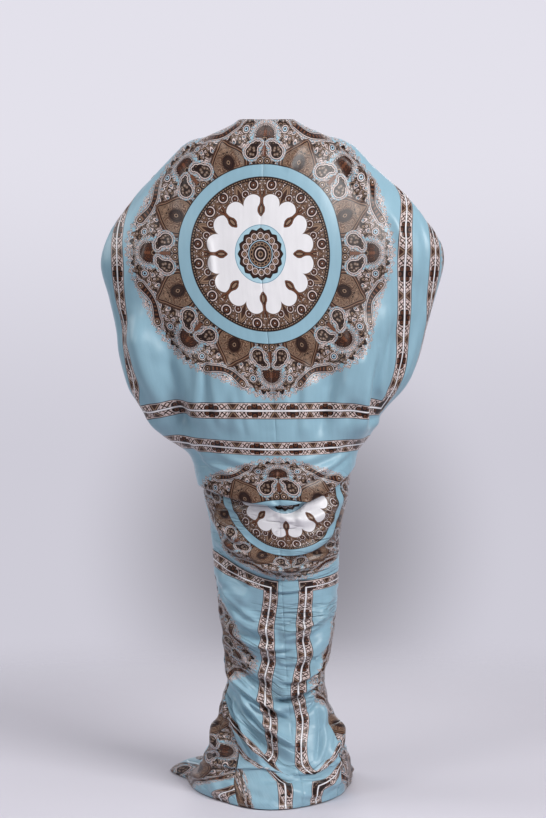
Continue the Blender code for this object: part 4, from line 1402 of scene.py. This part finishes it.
# Each lamp: its place, where it is aimed, its size and its power
LAMPS = {
    "key": ((2.6, -2.9, 1.6), (0, 0, -0.6), 2.0, 172),
    "left fill": ((-2.9, -3.0, 1.0), (0, 0, -0.5), 1.2, 34),
    "top": ((0.0, -0.9, 3.2), (0, 0, -1.0), 2.2, 48),
    "floor fill": ((-2.2, 0.3, 0.5), (-0.4, 0.2, -1.5), 1.4, 17),
    "front fill": ((0.4, 3.9, 0.3), (0, 0, -0.6), 1.8, 34),
}


def make_floor():
    bm = bmesh.new()
    bmesh.ops.create_circle(bm, cap_ends=True, segments=FLOOR_SIDES, radius=FLOOR_RADIUS)
    bmesh.ops.translate(bm, verts=bm.verts[:], vec=(0, 0, -SHOULDER_HEIGHT))
    mesh = bpy.data.meshes.new("studio_floor")
    bm.to_mesh(mesh)
    bm.free()
    paper = bpy.data.materials.new("studio_paper")
    paper.use_nodes = True
    tree = paper.node_tree
    shader = tree.nodes["Principled BSDF"]
    shader.inputs["Base Color"].default_value = shade("floor")
    shader.inputs["Roughness"].default_value = FLOOR_ROUGHNESS
    x, y, _ = parts(tree, add_node(tree, "TexCoord").outputs["Object"])
    away = (x * x + y * y).step("SQRT")
    tree.links.new(faded(tree, away, *FLOOR_FADE), shader.inputs["Alpha"])
    mesh.materials.append(paper)
    floor = in_scene("studio_floor", mesh)


def make_light():
    world = bpy.data.worlds.new("studio")
    world.use_nodes = True
    tree = world.node_tree
    direction = add_node(tree, "TexCoord").outputs["Generated"]
    _, ahead, high = parts(tree, direction)
    behind = Paint(tree, "wall")
    # Painted light: the wall is lighter towards the top.
    behind.lay(faded(tree, high, *WALL_TOP), "top wall")
    # Painted shadow: the wall is darker behind the garment.
    behind.lay(faded(tree, distance(tree, direction, WALL_SHADOW), *WALL_SHADOW_REACH), "wall shadow")
    wall = Paint(tree, "dim wall")
    wall.lay(faded(tree, ahead, *WALL_BRIGHT), behind.colour)
    tree.links.new(wall.colour, tree.nodes["Background"].inputs["Color"])
    bpy.context.scene.world = world
    for name, (place, aim, size, power) in LAMPS.items():
        lamp = bpy.data.lights.new(name, "AREA")
        lamp.shape = "SQUARE"
        lamp.size = size
        lamp.energy = power
        holder = in_scene(name, lamp)
        holder.location = place
        holder.rotation_euler = (Vector(aim) - Vector(place)).to_track_quat("-Z", "Y").to_euler()
    bpy.context.scene.view_settings.view_transform = "Standard"


def make_camera():
    camera = bpy.data.cameras.new("camera")
    camera.lens = CAMERA_LENS
    camera.sensor_width = SENSOR_WIDTH
    holder = in_scene("camera", camera)
    holder.location = CAMERA_PLACE
    holder.rotation_euler = (np.pi / 2, 0, 0)
    bpy.context.scene.camera = holder


make_camera()
make_floor()
make_light()
declare(make_cloth())
